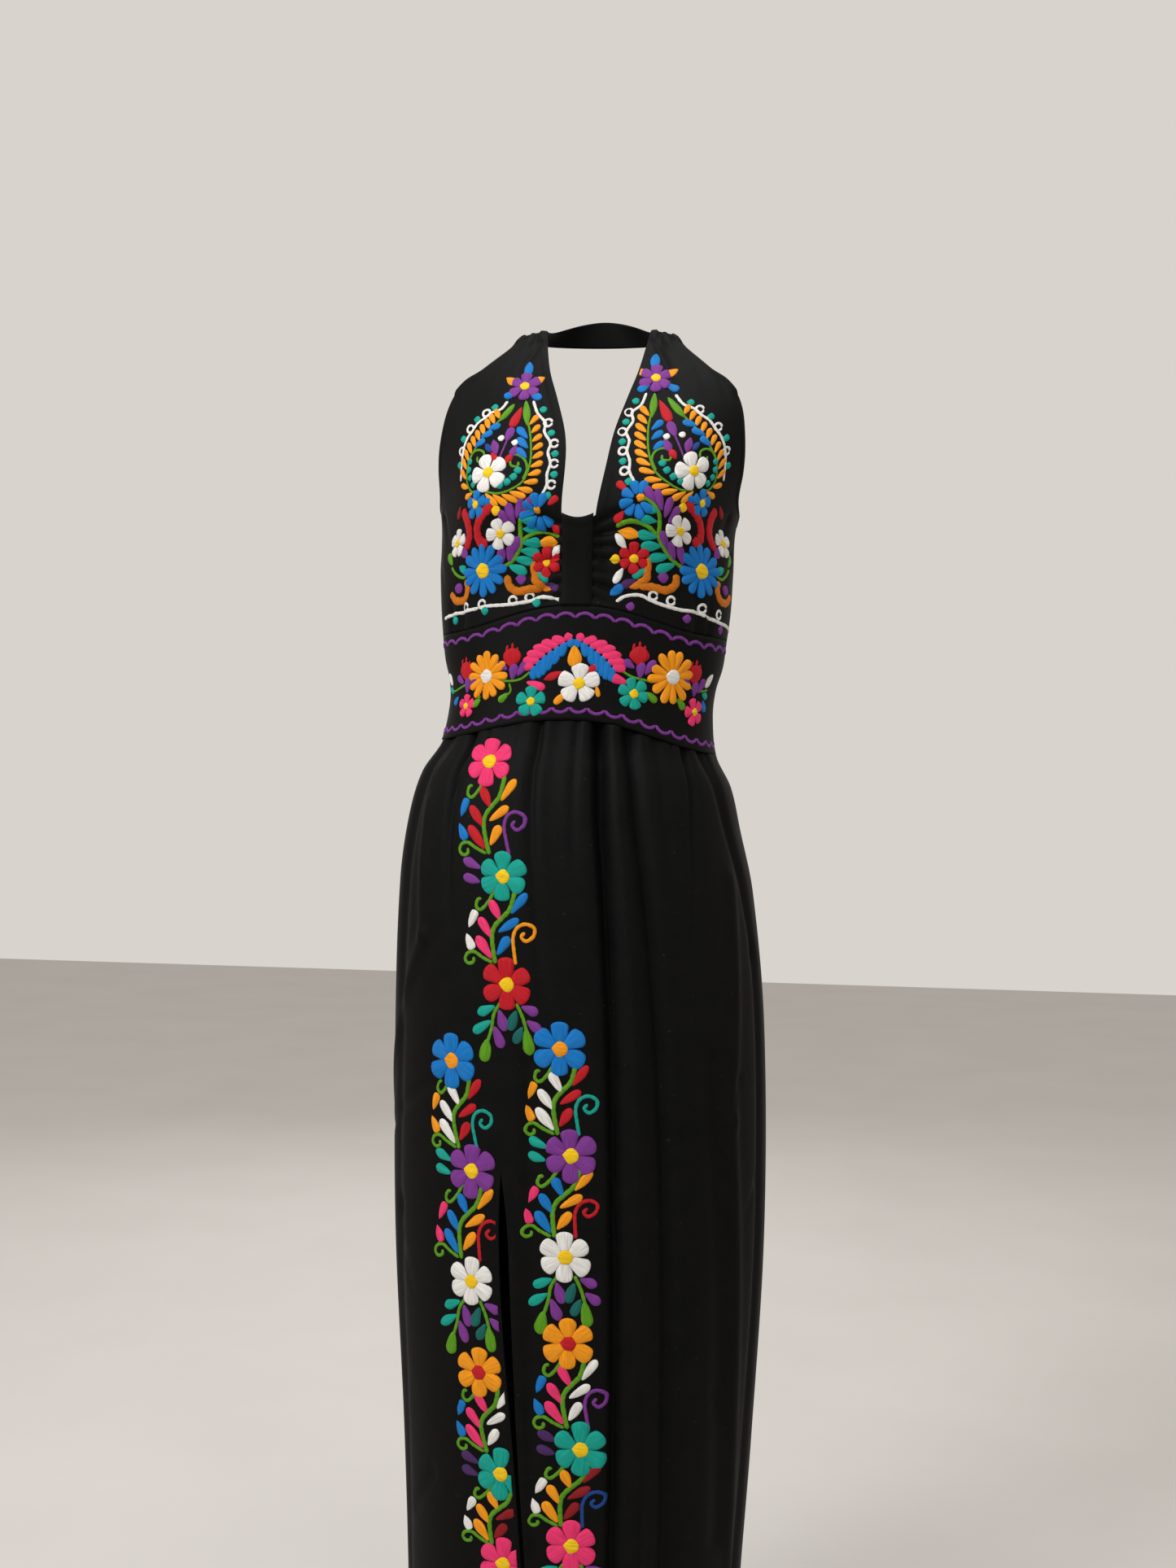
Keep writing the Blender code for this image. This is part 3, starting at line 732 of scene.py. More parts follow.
def neck_band_grid():
    """The band round the nape, between the two straps' top edges."""
    surface = Surface(CUP_FOLDS, mirrored=True)
    tops = []
    for u, height in ((0.0, PANEL_TOP_INNER), (1.0, PANEL_TOP_OUTER)):
        turn = panel_limits(np.array(height))[u > 0.5]
        tops.append(surface.inner(turn, np.array(height)))
    stop = 90 - math.degrees(SEAM_GAP / abs(tops[0][1]))
    angle = np.radians(np.linspace(-stop, stop, 90))
    side, facing = np.sin(angle), np.cos(angle)
    edges = []
    for (x, y, z), nape_z, nape_y in ((tops[0], NAPE_HALF_HEIGHT, -NAPE_LEAN), (tops[1], -NAPE_HALF_HEIGHT, NAPE_LEAN)):
        edges.append(np.stack([-x * side, mix(y, nape_y, facing), mix(nape_z, z, side**2)], axis=-1))
    share = np.linspace(0, 1, 14)[:, None, None]
    points = mix(edges[0][None], edges[1][None], share)
    round_it = np.radians(np.linspace(-stop, stop, 90)) * 0.06
    uvs = np.stack(np.broadcast_arrays(round_it[None], -share[..., 0] * 2 * NAPE_HALF_HEIGHT), axis=-1)
    return points, uvs


def skirt_shares(slit_share):
    upper = slit_share * np.linspace(0, 1, 104) ** 1.35
    lower = np.linspace(slit_share, 1 - 0.024, 92)[1:]
    hem = 1 - (SKIRT_HEM_EDGE - np.array((-0.002, -0.0006, 0.0006, 0.002, 0.012, 0.019, 0.020))) / abs(HEM - BAND_BOTTOM.front)
    return upper, np.concatenate([lower, hem])


def skirt_piece_grid(surface, turns, shares, slit_distance=None):
    top = seam_height(BAND_BOTTOM, turns[0])[None] - HOLLOW_SEAM_GAP
    height = mix(top, HEM, shares[:, None])
    lift = hem_lift(height - HEM, SKIRT_HEM_EDGE)
    if slit_distance is not None:
        open_rows = step(-0.846, -0.860, height)
        lift = np.maximum(lift, hem_lift(slit_distance) * open_rows)
    return surface.lifted(turns, height, lift), cloth_uv(turns, height)


def skirt_front_grids():
    """The front skirt's two sides, joined above the slit."""
    slit_turn = SLIT[0].turn
    top = float(seam_height(BAND_BOTTOM, slit_turn)) - HOLLOW_SEAM_GAP
    slit_share = (top - SLIT[0].height) / (top - HEM)
    upper, lower = skirt_shares(slit_share)
    shares = np.concatenate([upper, lower])
    height = mix(top, HEM, shares)
    middle = smooth(SLIT, "turn", height)
    half_gap = np.where(shares > upper[-1], smooth(SLIT, "half_gap", height), 0.0)
    radius = smooth(SECTIONS, "half_width", height)
    part = np.degrees(half_gap / radius)
    limit = side_seam_turn(height)
    surface = Surface(FRONT_FOLDS + FRONT_CREASES)
    left, _, left_away = with_hem_columns(-limit, middle - part, radius, 70, left_hem=False)
    right, right_away, _ = with_hem_columns(middle + part, limit, radius, 98, right_hem=False)
    grids = [
        skirt_piece_grid(surface, left, shares, left_away),
        skirt_piece_grid(surface, right, shares, right_away),
    ]
    return grids, len(upper)


def skirt_back_grid():
    top = BAND_BOTTOM.back
    slit_share = (top - SLIT[0].height) / (top - HEM)
    shares = np.concatenate(skirt_shares(slit_share))
    limit = side_seam_turn(mix(top, HEM, shares))
    turns = mix((180 - limit)[:, None], (180 + limit)[:, None], np.linspace(0, 1, 150)[None])
    return skirt_piece_grid(Surface(BACK_FOLDS + BACK_CREASES), turns, shares)


def make_cloth():
    """All nine pieces of cloth, each over its own CAD node."""
    material = black_cloth()
    panels = {"halter_panel_right": -1, "halter_panel_left": 1}
    for node, side in panels.items():
        piece = cloth_shell(f"{node}_cloth", [node], [halter_grid(side)], material)

    piece = cloth_shell("centre_tab_cloth", ["centre_tab"], [tab_grid()], material)

    piece = cloth_shell("neck_band_cloth", ["neck_band"], [neck_band_grid()], material)

    turns = back_turns(UNDERARM, 110)
    lower = seam_height(BAND_TOP, turns) + SEAM_GAP
    back = strip_grid(plain_surface(), turns, seam_height(BACK_TOP, turns), lower, 26, True)
    piece = cloth_shell("back_bodice_cloth", ["back_bodice"], [back], material)

    for node, turns in (
        ("midriff_band_front", front_turns(BAND_BOTTOM.side, 130)),
        ("midriff_band_back", back_turns(BAND_BOTTOM.side, 110)),
    ):
        grid = strip_grid(plain_surface(), turns, seam_height(BAND_TOP, turns), seam_height(BAND_BOTTOM, turns), 36)
        piece = cloth_shell(f"{node}_cloth", [node], [grid], material)

    grids, joined = skirt_front_grids()
    piece = cloth_shell("skirt_front_cloth", ["skirt_front"], grids, material, joined)
    piece = cloth_shell("skirt_back_cloth", ["skirt_back"], [skirt_back_grid()], material)


# Embroidery is drawn on the cloth in millimetres: x round it from centre front, y down from the nape
MM = 0.001
STITCH_LIFT = 0.0016
STITCH_ROOT = 0.0002
PETAL_LAY = 0.0004
CENTRE_LAY = 0.0012
FILL_SLOPES = np.array((-1.0, -0.86, -0.5, 0.0, 0.5, 0.86, 1.0))
FILL_UNDER = np.array((0.6, 0.0, -0.6))
LINE_SLOPES = np.array((-1.0, -0.7, 0.0, 0.7, 1.0))
LINE_UNDER = np.array((0.4, -0.4))

# Outlines of stitched shapes: width at the base, where it is widest, how pointed the tip is
Shape = namedtuple("Shape", "base widest point")
PETAL = Shape(0.30, 0.74, 0.50)
LOBE = Shape(0.60, 0.60, 0.50)
DROP = Shape(0.22, 0.68, 0.50)
LEAF = Shape(0.16, 0.46, 0.90)
BUD = Shape(0.70, 0.30, 0.95)
ROUND = Shape(0.0, 0.50, 0.50)

Leaf = namedtuple("Leaf", "colour base tip width shape", defaults=(DROP,))
Line = namedtuple("Line", "colour width route")
Bloom = namedtuple("Bloom", "colour centre place radius petals lean", defaults=(6, 0))
Dot = namedtuple("Dot", "colour place radius")
Fan = namedtuple("Fan", "colour place radius petals first last")


def smooth_route(route, count):
    """Evenly spaced points on a smooth curve through a route's points."""
    route = np.asarray(route, float)
    padded = np.concatenate([2 * route[:1] - route[1:2], route, 2 * route[-1:] - route[-2:-1]])
    t = np.linspace(0, 1, 14)[:-1, None]
    curve = []
    for a, b, c, d in zip(padded, padded[1:], padded[2:], padded[3:]):
        curve.append(b + 0.5 * t * (c - a + t * (2 * a - 5 * b + 4 * c - d + t * (3 * b - a - 3 * c + d))))
    curve = np.concatenate(curve + [route[-1:]])
    travel = np.concatenate([[0], np.cumsum(np.hypot(*np.diff(curve, axis=0).T))])
    at = travel[-1] * (np.linspace(0, 1, count) if np.isscalar(count) else count)
    return np.stack([np.interp(at, travel, curve[:, k]) for k in (0, 1)], axis=1), at


def outline(shape, share):
    """Half the width of a shape along its length, from 0 to 1."""
    rise = mix(shape.base, 1.0, np.sin(np.clip(share / shape.widest, 0, 1) * math.pi / 2))
    past = np.clip((share - shape.widest) / (1 - shape.widest), 0, 1)
    start = np.sqrt(1 - (1 - np.clip(share / 0.07, 0, 1)) ** 2)
    return rise * (1 - past**2) ** shape.point * start


class Needlework:
    """Stitched shapes gathered into one mesh that lies on the cloth."""

    def __init__(self, name, surface, reach, limits):
        self.name, self.surface, self.reach, self.limits = name, surface, reach, limits
        self.chance = np.random.default_rng(11)
        self.places, self.lifts, self.uvs, self.strokes = [], [], [], []
        self.faces, self.face_colours = [], []
        self.colours = []
        self.count = 0

    def stroke(self, colour, route, at, half_widths, slopes, under, lay, across):
        """A domed strip of thread round a route, in rows of points from side to side."""
        step_on = np.gradient(route, axis=0)
        step_on /= np.maximum(np.hypot(*step_on.T)[:, None], 1e-9)
        sideways = np.stack([step_on[:, 1], -step_on[:, 0]], axis=1)
        half = np.maximum(half_widths, 0.10)
        offsets = half[:, None] * np.concatenate([slopes, under])[None]
        crown = min(STITCH_LIFT, 0.00042 * half.max()) * np.sqrt(half / half.max())
        dome = np.concatenate([(1 - slopes**2) ** 0.6, np.zeros(len(under))])
        self.places.append((route[:, None] + sideways[:, None] * offsets[..., None]).reshape(-1, 2))
        self.lifts.append((crown[:, None] * dome[None] + lay - STITCH_ROOT * (dome[None] == 0)).ravel())
        along = np.broadcast_to(at[:, None], offsets.shape)
        uv = np.stack([offsets, along + offsets * 0.7] if across else [along, offsets], axis=-1) * MM
        self.uvs.append(uv.reshape(-1, 2) + self.chance.uniform(0, 1, 2))
        self.strokes.append(offsets.size)
        self.add_faces(colour, *offsets.shape)

    def add_faces(self, colour, rows, columns):
        if colour not in self.colours:
            self.colours.append(colour)
        index = self.count + np.arange(rows * columns).reshape(rows, columns)
        ring = np.concatenate([index, index[:, :1]], axis=1)
        faces = grid_faces(ring) + [index[0].tolist(), index[-1, ::-1].tolist()]
        self.faces += faces
        self.face_colours += [self.colours.index(colour)] * len(faces)
        self.count += rows * columns

    def fill(self, colour, route, width, shape, lay=0.0):
        rows = (1 - np.cos(np.linspace(0, math.pi, 12))) / 2
        curve, at = smooth_route(route, rows)
        wobble = 1 + 0.05 * np.sin(rows * 9 + self.chance.uniform(0, 6.3))
        half = outline(shape, rows) * width / 2 * wobble
        self.stroke(colour, curve, at, half, FILL_SLOPES, FILL_UNDER, lay, across=False)

    def line(self, colour, route, width, lay=0.0):
        length = smooth_route(route, 2)[1][-1]
        curve, at = smooth_route(route, max(int(length / 1.3), 6))
        from_end = np.minimum(at, length - at)
        round_end = np.sqrt(1 - (1 - np.clip(from_end / (width / 2), 0, 1)) ** 2)
        wobble = 1 + 0.07 * np.sin(at * 0.9 + self.chance.uniform(0, 6.3))
        half = width / 2 * round_end * wobble
        self.stroke(colour, curve, at, half, LINE_SLOPES, LINE_UNDER, lay, across=True)

    def petals(self, colour, place, radius, angles, spread, inner):
        for angle in angles:
            angle = math.radians(angle + self.chance.uniform(-3, 3))
            way = np.array((math.cos(angle), -math.sin(angle)))
            reach = radius * self.chance.uniform(0.95, 1.04)
            width = spread * self.chance.uniform(0.95, 1.05)
            self.fill(colour, [place + way * inner, place + way * reach], width, PETAL, PETAL_LAY)

    def dot(self, colour, place, radius, lay=0.0):
        place = np.asarray(place, float)
        side = np.array((radius, radius * 0.1))
        self.fill(colour, [place - side, place + side], radius * 2, ROUND, lay)

    def ring(self, colour, place, radius, width):
        angles = np.linspace(0, 2 * math.pi, 9)
        route = np.asarray(place, float) + radius * np.stack([np.cos(angles), np.sin(angles)], axis=1)
        self.line(colour, route, width)

    def bloom(self, item, place):
        angles = 90 + item.lean + np.arange(item.petals) * 360 / item.petals
        spread = 2 * item.radius * 0.70 * math.sin(math.pi / item.petals)
        self.petals(item.colour, place, item.radius, angles, spread, item.radius * 0.16)
        self.dot(item.centre, place, item.radius * 0.30, lay=CENTRE_LAY)

    def fan(self, item, place):
        angles = np.linspace(item.first, item.last, item.petals)
        self.petals(item.colour, place, item.radius, angles, item.radius * 0.52, item.radius * 0.25)

    def draw(self, items, put=np.asarray):
        """Stitches a design's items; put moves its points to their place on the cloth."""
        for item in items:
            if isinstance(item, Leaf):
                self.fill(item.colour, [put(item.base), put(item.tip)], item.width, item.shape)
            elif isinstance(item, Line):
                self.line(item.colour, [put(point) for point in item.route], item.width)
            elif isinstance(item, Bloom):
                self.bloom(item, put(item.place))
            elif isinstance(item, Fan):
                self.fan(item, put(item.place))
            else:
                self.dot(item.colour, put(item.place), item.radius)

    def make(self, threads):
        places = np.concatenate(self.places) * MM
        height = -places[:, 1]
        turn = self.reach.turn(places[:, 0], height)
        owner = np.repeat(np.arange(len(self.strokes)), self.strokes)
        middle = np.bincount(owner, turn) / np.array(self.strokes)
        low, high = self.limits(height, middle[owner])
        held = np.clip(turn, low, high)
        lift = CLOTH + np.concatenate(self.lifts)
        points = self.surface.lifted(held, height, lift)
        lost = np.bincount(owner, held != turn) / np.array(self.strokes) > 0.5
        starts = np.array([face[0] for face in self.faces])
        keep = ~lost[owner[starts]]
        faces = [face for face, kept in zip(self.faces, keep) if kept]
        colours = np.array(self.face_colours)[keep]
        used = np.zeros(self.count, bool)
        used[np.concatenate([np.array(face) for face in faces])] = True
        renumber = np.cumsum(used) - 1
        faces = [[int(renumber[v]) for v in face] for face in faces]
        uvs = np.concatenate(self.uvs)[used]
        materials = [threads[colour] for colour in self.colours]
        piece = mesh_object(self.name, points[used], uvs, faces, colours, materials)
        return piece


# Skirt flowers from top to bottom of each column, and what is stitched below each one
Sprig = namedtuple("Sprig", "left right curl bud side")
Stage = namedtuple("Stage", "bloom below")
TAIL = "tail"
TOP_COLUMN = (
    Stage(Bloom("pink", "yellow", (-74, 461), 24), Sprig("red", "orange", "purple", "blue", "purple")),
    Stage(Bloom("teal", "yellow", (-55, 569), 24), Sprig("pink", "blue", "orange", "white", None)),
    Stage(Bloom("red", "yellow", (-53, 670), 25), TAIL),
)
LEFT_COLUMN = (
    Stage(Bloom("blue", "orange", (-112, 746), 27), Sprig("white", "red", "teal", "orange", "teal")),
    Stage(Bloom("purple", "yellow", (-90, 848), 26), Sprig("blue", "orange", "red", "pink", None)),
    Stage(Bloom("white", "yellow", (-90, 953), 24), TAIL),
    Stage(Bloom("orange", "red", (-82, 1039), 25), Sprig("pink", "white", "purple", "blue", "dark_purple")),
    Stage(Bloom("teal", "yellow", (-59, 1133), 25), Sprig("orange", "dark_red", "dark_blue", "white", None)),
    Stage(Bloom("pink", "yellow", (-55, 1219), 25), TAIL),
    Stage(Bloom("blue", "orange", (-52, 1305), 24), TAIL),
)
RIGHT_COLUMN = (
    Stage(Bloom("blue", "orange", (-3, 728), 26), Sprig("white", "red", "teal", "orange", "teal")),
    Stage(Bloom("purple", "yellow", (7, 827), 26), Sprig("blue", "orange", "red", "pink", None)),
    Stage(Bloom("white", "yellow", (2, 922), 25), TAIL),
    Stage(Bloom("orange", "red", (5, 1003), 25), Sprig("pink", "white", "purple", "blue", "dark_purple")),
    Stage(Bloom("teal", "yellow", (17, 1103), 26), Sprig("orange", "dark_red", "dark_blue", "white", None)),
    Stage(Bloom("pink", "yellow", (10, 1195), 25), TAIL),
    Stage(Bloom("blue", "orange", (14, 1281), 24), TAIL),
)

# A sprig's own points: from the lower flower's middle, with y up to the flower above it
SPRIG_SIZE = (-19.0, 108.0)


def sprig_items(colours):
    leaves = [
        Leaf(colours.right, (-2, 71), (11, 92), 9),
        Leaf(colours.right, (-13, 52), (6, 66), 9),
        Leaf(colours.right, (-12, 29), (-2, 48), 10),
        Leaf(colours.left, (-12, 64), (-24, 84), 10),
        Leaf(colours.left, (-19, 46), (-34, 66), 10),
        Leaf(colours.left, (-17, 25), (-35, 47), 11),
        Leaf(colours.bud, (-38, 33), (-46, 49), 10, BUD),
        Leaf(colours.bud, (-38, 73), (-44, 55), 9, BUD),
    ]
    sides = [Leaf(colours.side, (-22, 7), (-41, 15), 10), Leaf(colours.side, (-23, -6), (-41, -1), 10)]
    lines = [
        Line("green", 3.8, ((-16, 21), (-27, 26), (-36, 31), (-43, 29), (-45, 23), (-41, 19), (-36, 21), (-36, 26))),
        Line("green", 3.8, ((-20, 95), (-26, 82), (-33, 74), (-38, 77), (-37, 84), (-33, 85))),
        Line(colours.curl, 3.8, ((7, 20), (4, 34), (2, 47), (5, 57), (13, 61), (21, 57), (21, 49), (15, 44), (10, 48), (13, 53))),
        Line("green", 5.0, ((-13, 20), (-17, 36), (-19, 49), (-17, 58), (-11, 66), (-4, 75), (-1, 89), (-1, 96))),
    ]
    return leaves + (sides if colours.side else []) + lines


# Two drooping sprays, from the flower's middle, with y up
TAIL_ITEMS = (
    Leaf("teal", (-12, -21), (-30, -29), 10),
    Leaf("teal", (-16, -35), (-35, -47), 10),
    Leaf("purple", (-8, -24), (-2, -44), 11),
    Leaf("purple", (-13, -40), (-5, -60), 11),
    Leaf("purple", (14, -20), (30, -26), 10),
    Leaf("purple", (19, -33), (33, -43), 10),
    Leaf("dark_teal", (9, -24), (2, -43), 11),
    Leaf("dark_teal", (15, -39), (7, -55), 10),
    Leaf("green", (-20, -52), (-24, -74), 13),
    Leaf("green", (18, -41), (22, -65), 12),
    Line("green", 3.8, ((-6, -17), (-13, -28), (-16, -43), (-21, -58))),
    Line("green", 3.8, ((9, -17), (15, -30), (18, -40), (20, -48))),
)


def beside_slit(height, turn):
    """Lowest and highest turn for a shape on the skirt: none crosses the slit."""
    edge = np.degrees(0.0030 / smooth(SECTIONS, "half_width", height))
    middle = smooth(SLIT, "turn", height)
    gap = np.degrees(smooth(SLIT, "half_gap", height) / smooth(SECTIONS, "half_width", height)) + edge
    split = height < SLIT[0].height
    low = np.where(split & (turn > middle), middle + gap, -85.0)
    high = np.where(split & (turn <= middle), middle - gap, 85.0)
    return low, high


def skirt_flowers(threads):
    surface = Surface(FRONT_FOLDS + FRONT_CREASES)
    needle = Needlework("skirt_embroidery", surface, Reach(-0.400, -1.430), beside_slit)
    for column in (TOP_COLUMN, LEFT_COLUMN, RIGHT_COLUMN):
        for stage, after in zip(column, column[1:] + (None,)):
            x, drop = stage.bloom.place
            if stage.below is TAIL:
                needle.draw(TAIL_ITEMS, lambda point: np.array((x + point[0], drop - point[1])))
            elif after:
                low_x, low_drop = after.bloom.place
                lean = (x - low_x - SPRIG_SIZE[0]) / SPRIG_SIZE[1]
                rise = (low_drop - drop) / SPRIG_SIZE[1]
                needle.draw(
                    sprig_items(stage.below),
                    lambda point: np.array((low_x + point[0] + lean * point[1] * 0.7, low_drop - point[1] * rise)),
                )
        needle.draw([stage.bloom for stage in column])
    needle.make(threads)


# Waistband embroidery
WAIST_STEMS = (
    Line("green", 2.6, ((46, 370), (56, 376), (68, 379), (82, 381))),
    Line("green", 2.6, ((-41, 373), (-50, 380), (-62, 382), (-80, 381))),
    Line("green", 2.4, ((112, 381), (124, 385), (138, 387), (150, 385))),
    Line("green", 2.4, ((-112, 383), (-126, 387), (-140, 390), (-154, 387))),
    Line("green", 2.4, ((66, 380), (68, 389), (76, 394))),
    Line("green", 2.4, ((-62, 384), (-60, 392), (-66, 398))),
    Line("green", 2.4, ((98, 392), (104, 398), (110, 398))),
    Line("green", 2.4, ((-94, 396), (-98, 400), (-101, 399))),
)
WAIST_LEAVES = (
    Leaf("orange", (2, 368), (0, 346), 14, BUD),
    Leaf("red", (-27, 381), (-9, 373), 8, LEAF),
    Leaf("red", (15, 373), (26, 364), 8, LEAF),
    Leaf("pink", (-44, 383), (-25, 389), 9),
    Leaf("pink", (53, 383), (37, 377), 10),
    Leaf("orange", (-4, 393), (-15, 404), 8),
    Leaf("orange", (24, 386), (27, 397), 5),
    Leaf("green", (-62, 394), (-72, 402), 8),
    Leaf("green", (-94, 400), (-104, 406), 8),
    Leaf("green", (72, 391), (84, 400), 8),
    Leaf("green", (106, 396), (116, 406), 8),
    Leaf("teal", (-142, 392), (-152, 387), 7),
    Leaf("blue", (-130, 396), (-137, 404), 8),
    Leaf("teal", (140, 390), (150, 392), 7),
    Leaf("blue", (142, 396), (148, 407), 8),
    Leaf("white", (-146, 384), (-158, 371), 9, LEAF),
    Leaf("white", (144, 383), (155, 369), 9, LEAF),
)
WAIST_BLOOMS = (
    Bloom("teal", "yellow", (-38, 402), 15, 5),
    Bloom("teal", "yellow", (60, 393), 15.5, 6, 15),
    Bloom("orange", "white", (-88, 377), 24, 12),
    Bloom("orange", "white", (98, 375), 25, 12, 10),
    Bloom("pink", "yellow", (-113, 406), 12, 5),
    Bloom("pink", "yellow", (129, 408), 13, 5, 20),
    Bloom("white", "yellow", (7, 384), 20, 5),
)
WAIST_TULIPS = ((-62, 357), (62, 354), (-117, 369), (124, 369))
WAIST_TULIP = (
    Leaf("purple", (-3, 14), (-14, 7), 8),
    Leaf("purple", (3, 24), (4, 8), 10),
    Leaf("purple", (8, 20), (17, 6), 9),
    Line("red", 2.8, ((-4, 0), (-5, -5), (-4, -10))),
    Line("red", 2.8, ((1, 0), (1, -6), (1, -12))),
    Line("red", 2.8, ((5, 0), (6, -4), (6, -8))),
    Leaf("red", (1, 12), (1, -7), 20, ROUND),
)
TOP_SCALLOP = 19.0
BOTTOM_SCALLOP = 17.0
SCALLOP_RISE = 4.8
EDGE_TO_SCALLOP = 12.0


def waist_leaf(side):
    """One large leaf of the waistband's V: pink barbs along its upper side and blue ones below."""
    spine, _ = smooth_route(((2 * side, 341), (15 * side, 348), (30 * side, 359), (43 * side, 373)), 8)
    barbs = []
    for i in range(len(spine) - 1):
        along = spine[i + 1] - spine[i]
        along /= np.hypot(*along)
        out = np.array((along[1], -along[0])) * side
        size = 20 * math.sin(math.pi * (i + 0.8) / 8.4) ** 0.7
        barbs.append(Leaf("blue", spine[i], spine[i] + (along * 0.72 - out * 0.72) * size, 8.6, LOBE))
        barbs.append(Leaf("pink", spine[i], spine[i] + (along * 0.66 + out * 0.68) * size, 9.2, LOBE))
    return barbs


def scallop_line(needle, seam, offset, bulge, span):
    """A purple line of small arcs along the waistband's front, near a seam."""
    for reach in np.arange(-12, 12) * span:
        across = reach + np.linspace(0, span, 7)
        turn = needle.reach.turn(across * MM, np.full(7, seam.front))
        drop = -seam_height(seam, turn) / MM + offset
        arc = bulge * SCALLOP_RISE * np.sin(np.linspace(0, math.pi, 7)) ** 0.7
        needle.line("purple", np.stack([across, drop + arc], axis=1), 3.4)


def waist_flowers(threads):
    needle = Needlework("waistband_embroidery", plain_surface(), Reach(-0.290, -0.460), within_waistband)
    scallop_line(needle, BAND_TOP, EDGE_TO_SCALLOP, -1, TOP_SCALLOP)
    scallop_line(needle, BAND_BOTTOM, -EDGE_TO_SCALLOP, 1, BOTTOM_SCALLOP)
    needle.draw(WAIST_STEMS, level)
    for side in (-1, 1):
        needle.draw(waist_leaf(side))
    for x, drop in WAIST_TULIPS:
        needle.draw(WAIST_TULIP, lambda point: level((x + point[0], drop + point[1])))
    needle.draw(WAIST_LEAVES + WAIST_BLOOMS, level)
    needle.make(threads)


def level(point):
    """Keeps a flower of the waistband from sinking with the dip of its lower edge."""
    x, drop = point
    return np.array((x, drop - float(waist_dip(x * MM, -drop * MM)) / MM * 0.8))


def within_waistband(height, turn):
    return np.full_like(turn, -89.0), np.full_like(turn, 89.0)


# Embroidery of one front, drawn for the wearer's left: a paisley drop over a bed of flowers
PAISLEY_INNER = ((62, 112), (60, 126), (60, 140), (63, 161), (71, 181), (84, 192), (99, 198), (114, 196))
PAISLEY_OUTER = ((86, 112), (98, 125), (110, 136), (127, 152), (139, 167), (143, 182), (136, 193), (124, 194))
CUP_TOP = (
    Leaf("blue", (60, 65), (61, 45), 11, LEAF),
    Leaf("orange", (54, 73), (41, 66), 9, LEAF),
    Leaf("orange", (71, 74), (84, 65), 9, LEAF),
    Leaf("blue", (57, 84), (45, 92), 9),
    Leaf("blue", (72, 83), (86, 90), 9),
    Bloom("purple", "yellow", (62, 77), 17, 6),
    Leaf("green", (62, 94), (62, 123), 8, LEAF),
    Leaf("green", (75, 99), (94, 122), 8, LEAF),
)
CUP_TORCH = (
    Line("purple", 2.2, ((84, 138), (90, 150), (97, 164))),
    Leaf("red", (80, 127), (67, 102), 10, BUD),
    Leaf("purple", (87, 144), (79, 127), 10),
    Dot("white", (78, 144), 3.6),
    Dot("white", (93, 141), 3.6),
    Leaf("purple", (84, 161), (76, 147), 9, LEAF),
    Leaf("purple", (100, 160), (102, 143), 9, LEAF),
    Leaf("red", (90, 168), (82, 157), 8, LEAF),
    Leaf("red", (98, 169), (106, 157), 7, LEAF),
    Leaf("dark_blue", (106, 157), (112, 147), 7, LEAF),
)
CUP_INSIDE = (
    Leaf("blue", (63, 137), (73, 126), 8),
    Leaf("blue", (64, 148), (74, 138), 8),
    Leaf("blue", (67, 159), (76, 150), 8),
    Leaf("blue", (107, 130), (92, 126), 8),
    Leaf("blue", (117, 139), (102, 134), 8),
    Leaf("blue", (126, 149), (112, 142), 8),
    Dot("teal", (77, 173), 4.0),
    Dot("teal", (82, 180), 4.0),
    Dot("teal", (89, 186), 4.0),
    Dot("teal", (97, 190), 3.8),
    Dot("teal", (136, 164), 3.6),
    Dot("teal", (138, 172), 3.6),
    Dot("teal", (137, 180), 3.6),
    Dot("teal", (132, 187), 3.6),
    Line("green", 2.8, ((72, 181), (67, 170), (69, 161), (77, 157), (84, 161), (84, 169), (77, 169), (76, 164))),
    Line("green", 2.8, ((142, 176), (138, 165), (131, 156), (122, 153), (115, 157), (117, 165), (124, 165), (124, 160))),
    Bloom("white", "yellow", (110, 178), 20, 5, 20),
)
CUP_CORDS = (
    Line("white", 3.2, ((54, 94), (50, 108), (42, 117), (44, 127), (39, 139), (43, 149), (42, 160), (46, 171), (47, 182), (53, 193), (56, 203))),
    Line("white", 3.2, ((83, 95), (91, 106), (103, 111), (110, 117), (119, 122), (128, 131), (136, 138), (144, 149), (150, 162), (156, 181))),
)
CUP_RINGS = ((39, 117), (35, 139), (38, 160), (42, 181), (108, 111), (130, 128), (147, 151))
CUP_DOTS = ((44, 104), (37, 128), (36, 150), (39, 171), (47, 192), (98, 104), (120, 118), (142, 138), (155, 165))
CUP_MIDDLE = (
    Leaf("red", (47, 201), (36, 192), 8),
    Leaf("red", (46, 219), (37, 230), 9),
    Fan("blue", (58, 209), 18, 7, 70, 320),
    Dot("orange", (60, 207), 4.2),
    Leaf("purple", (75, 213), (63, 196), 9),
    Leaf("purple", (81, 219), (75, 199), 9),
    Leaf("purple", (84, 225), (90, 206), 9),
    Leaf("purple", (88, 231), (99, 214), 9),
    Dot("yellow", (103, 214), 5.0),
    Leaf("blue", (104, 203), (116, 206), 8),
    Bloom("blue", "yellow", (128, 207), 14, 5),
    Line("red", 11, ((106, 210), (119, 216), (129, 228), (127, 241), (116, 247))),
    Line("red", 11, ((155, 209), (146, 222), (143, 236), (150, 249))),
    Leaf("dark_red", (160, 205), (167, 217), 8),
    Bloom("white", "yellow", (100, 236), 15, 5, 20),
    Bloom("white", "yellow", (165, 241), 14, 5),
)
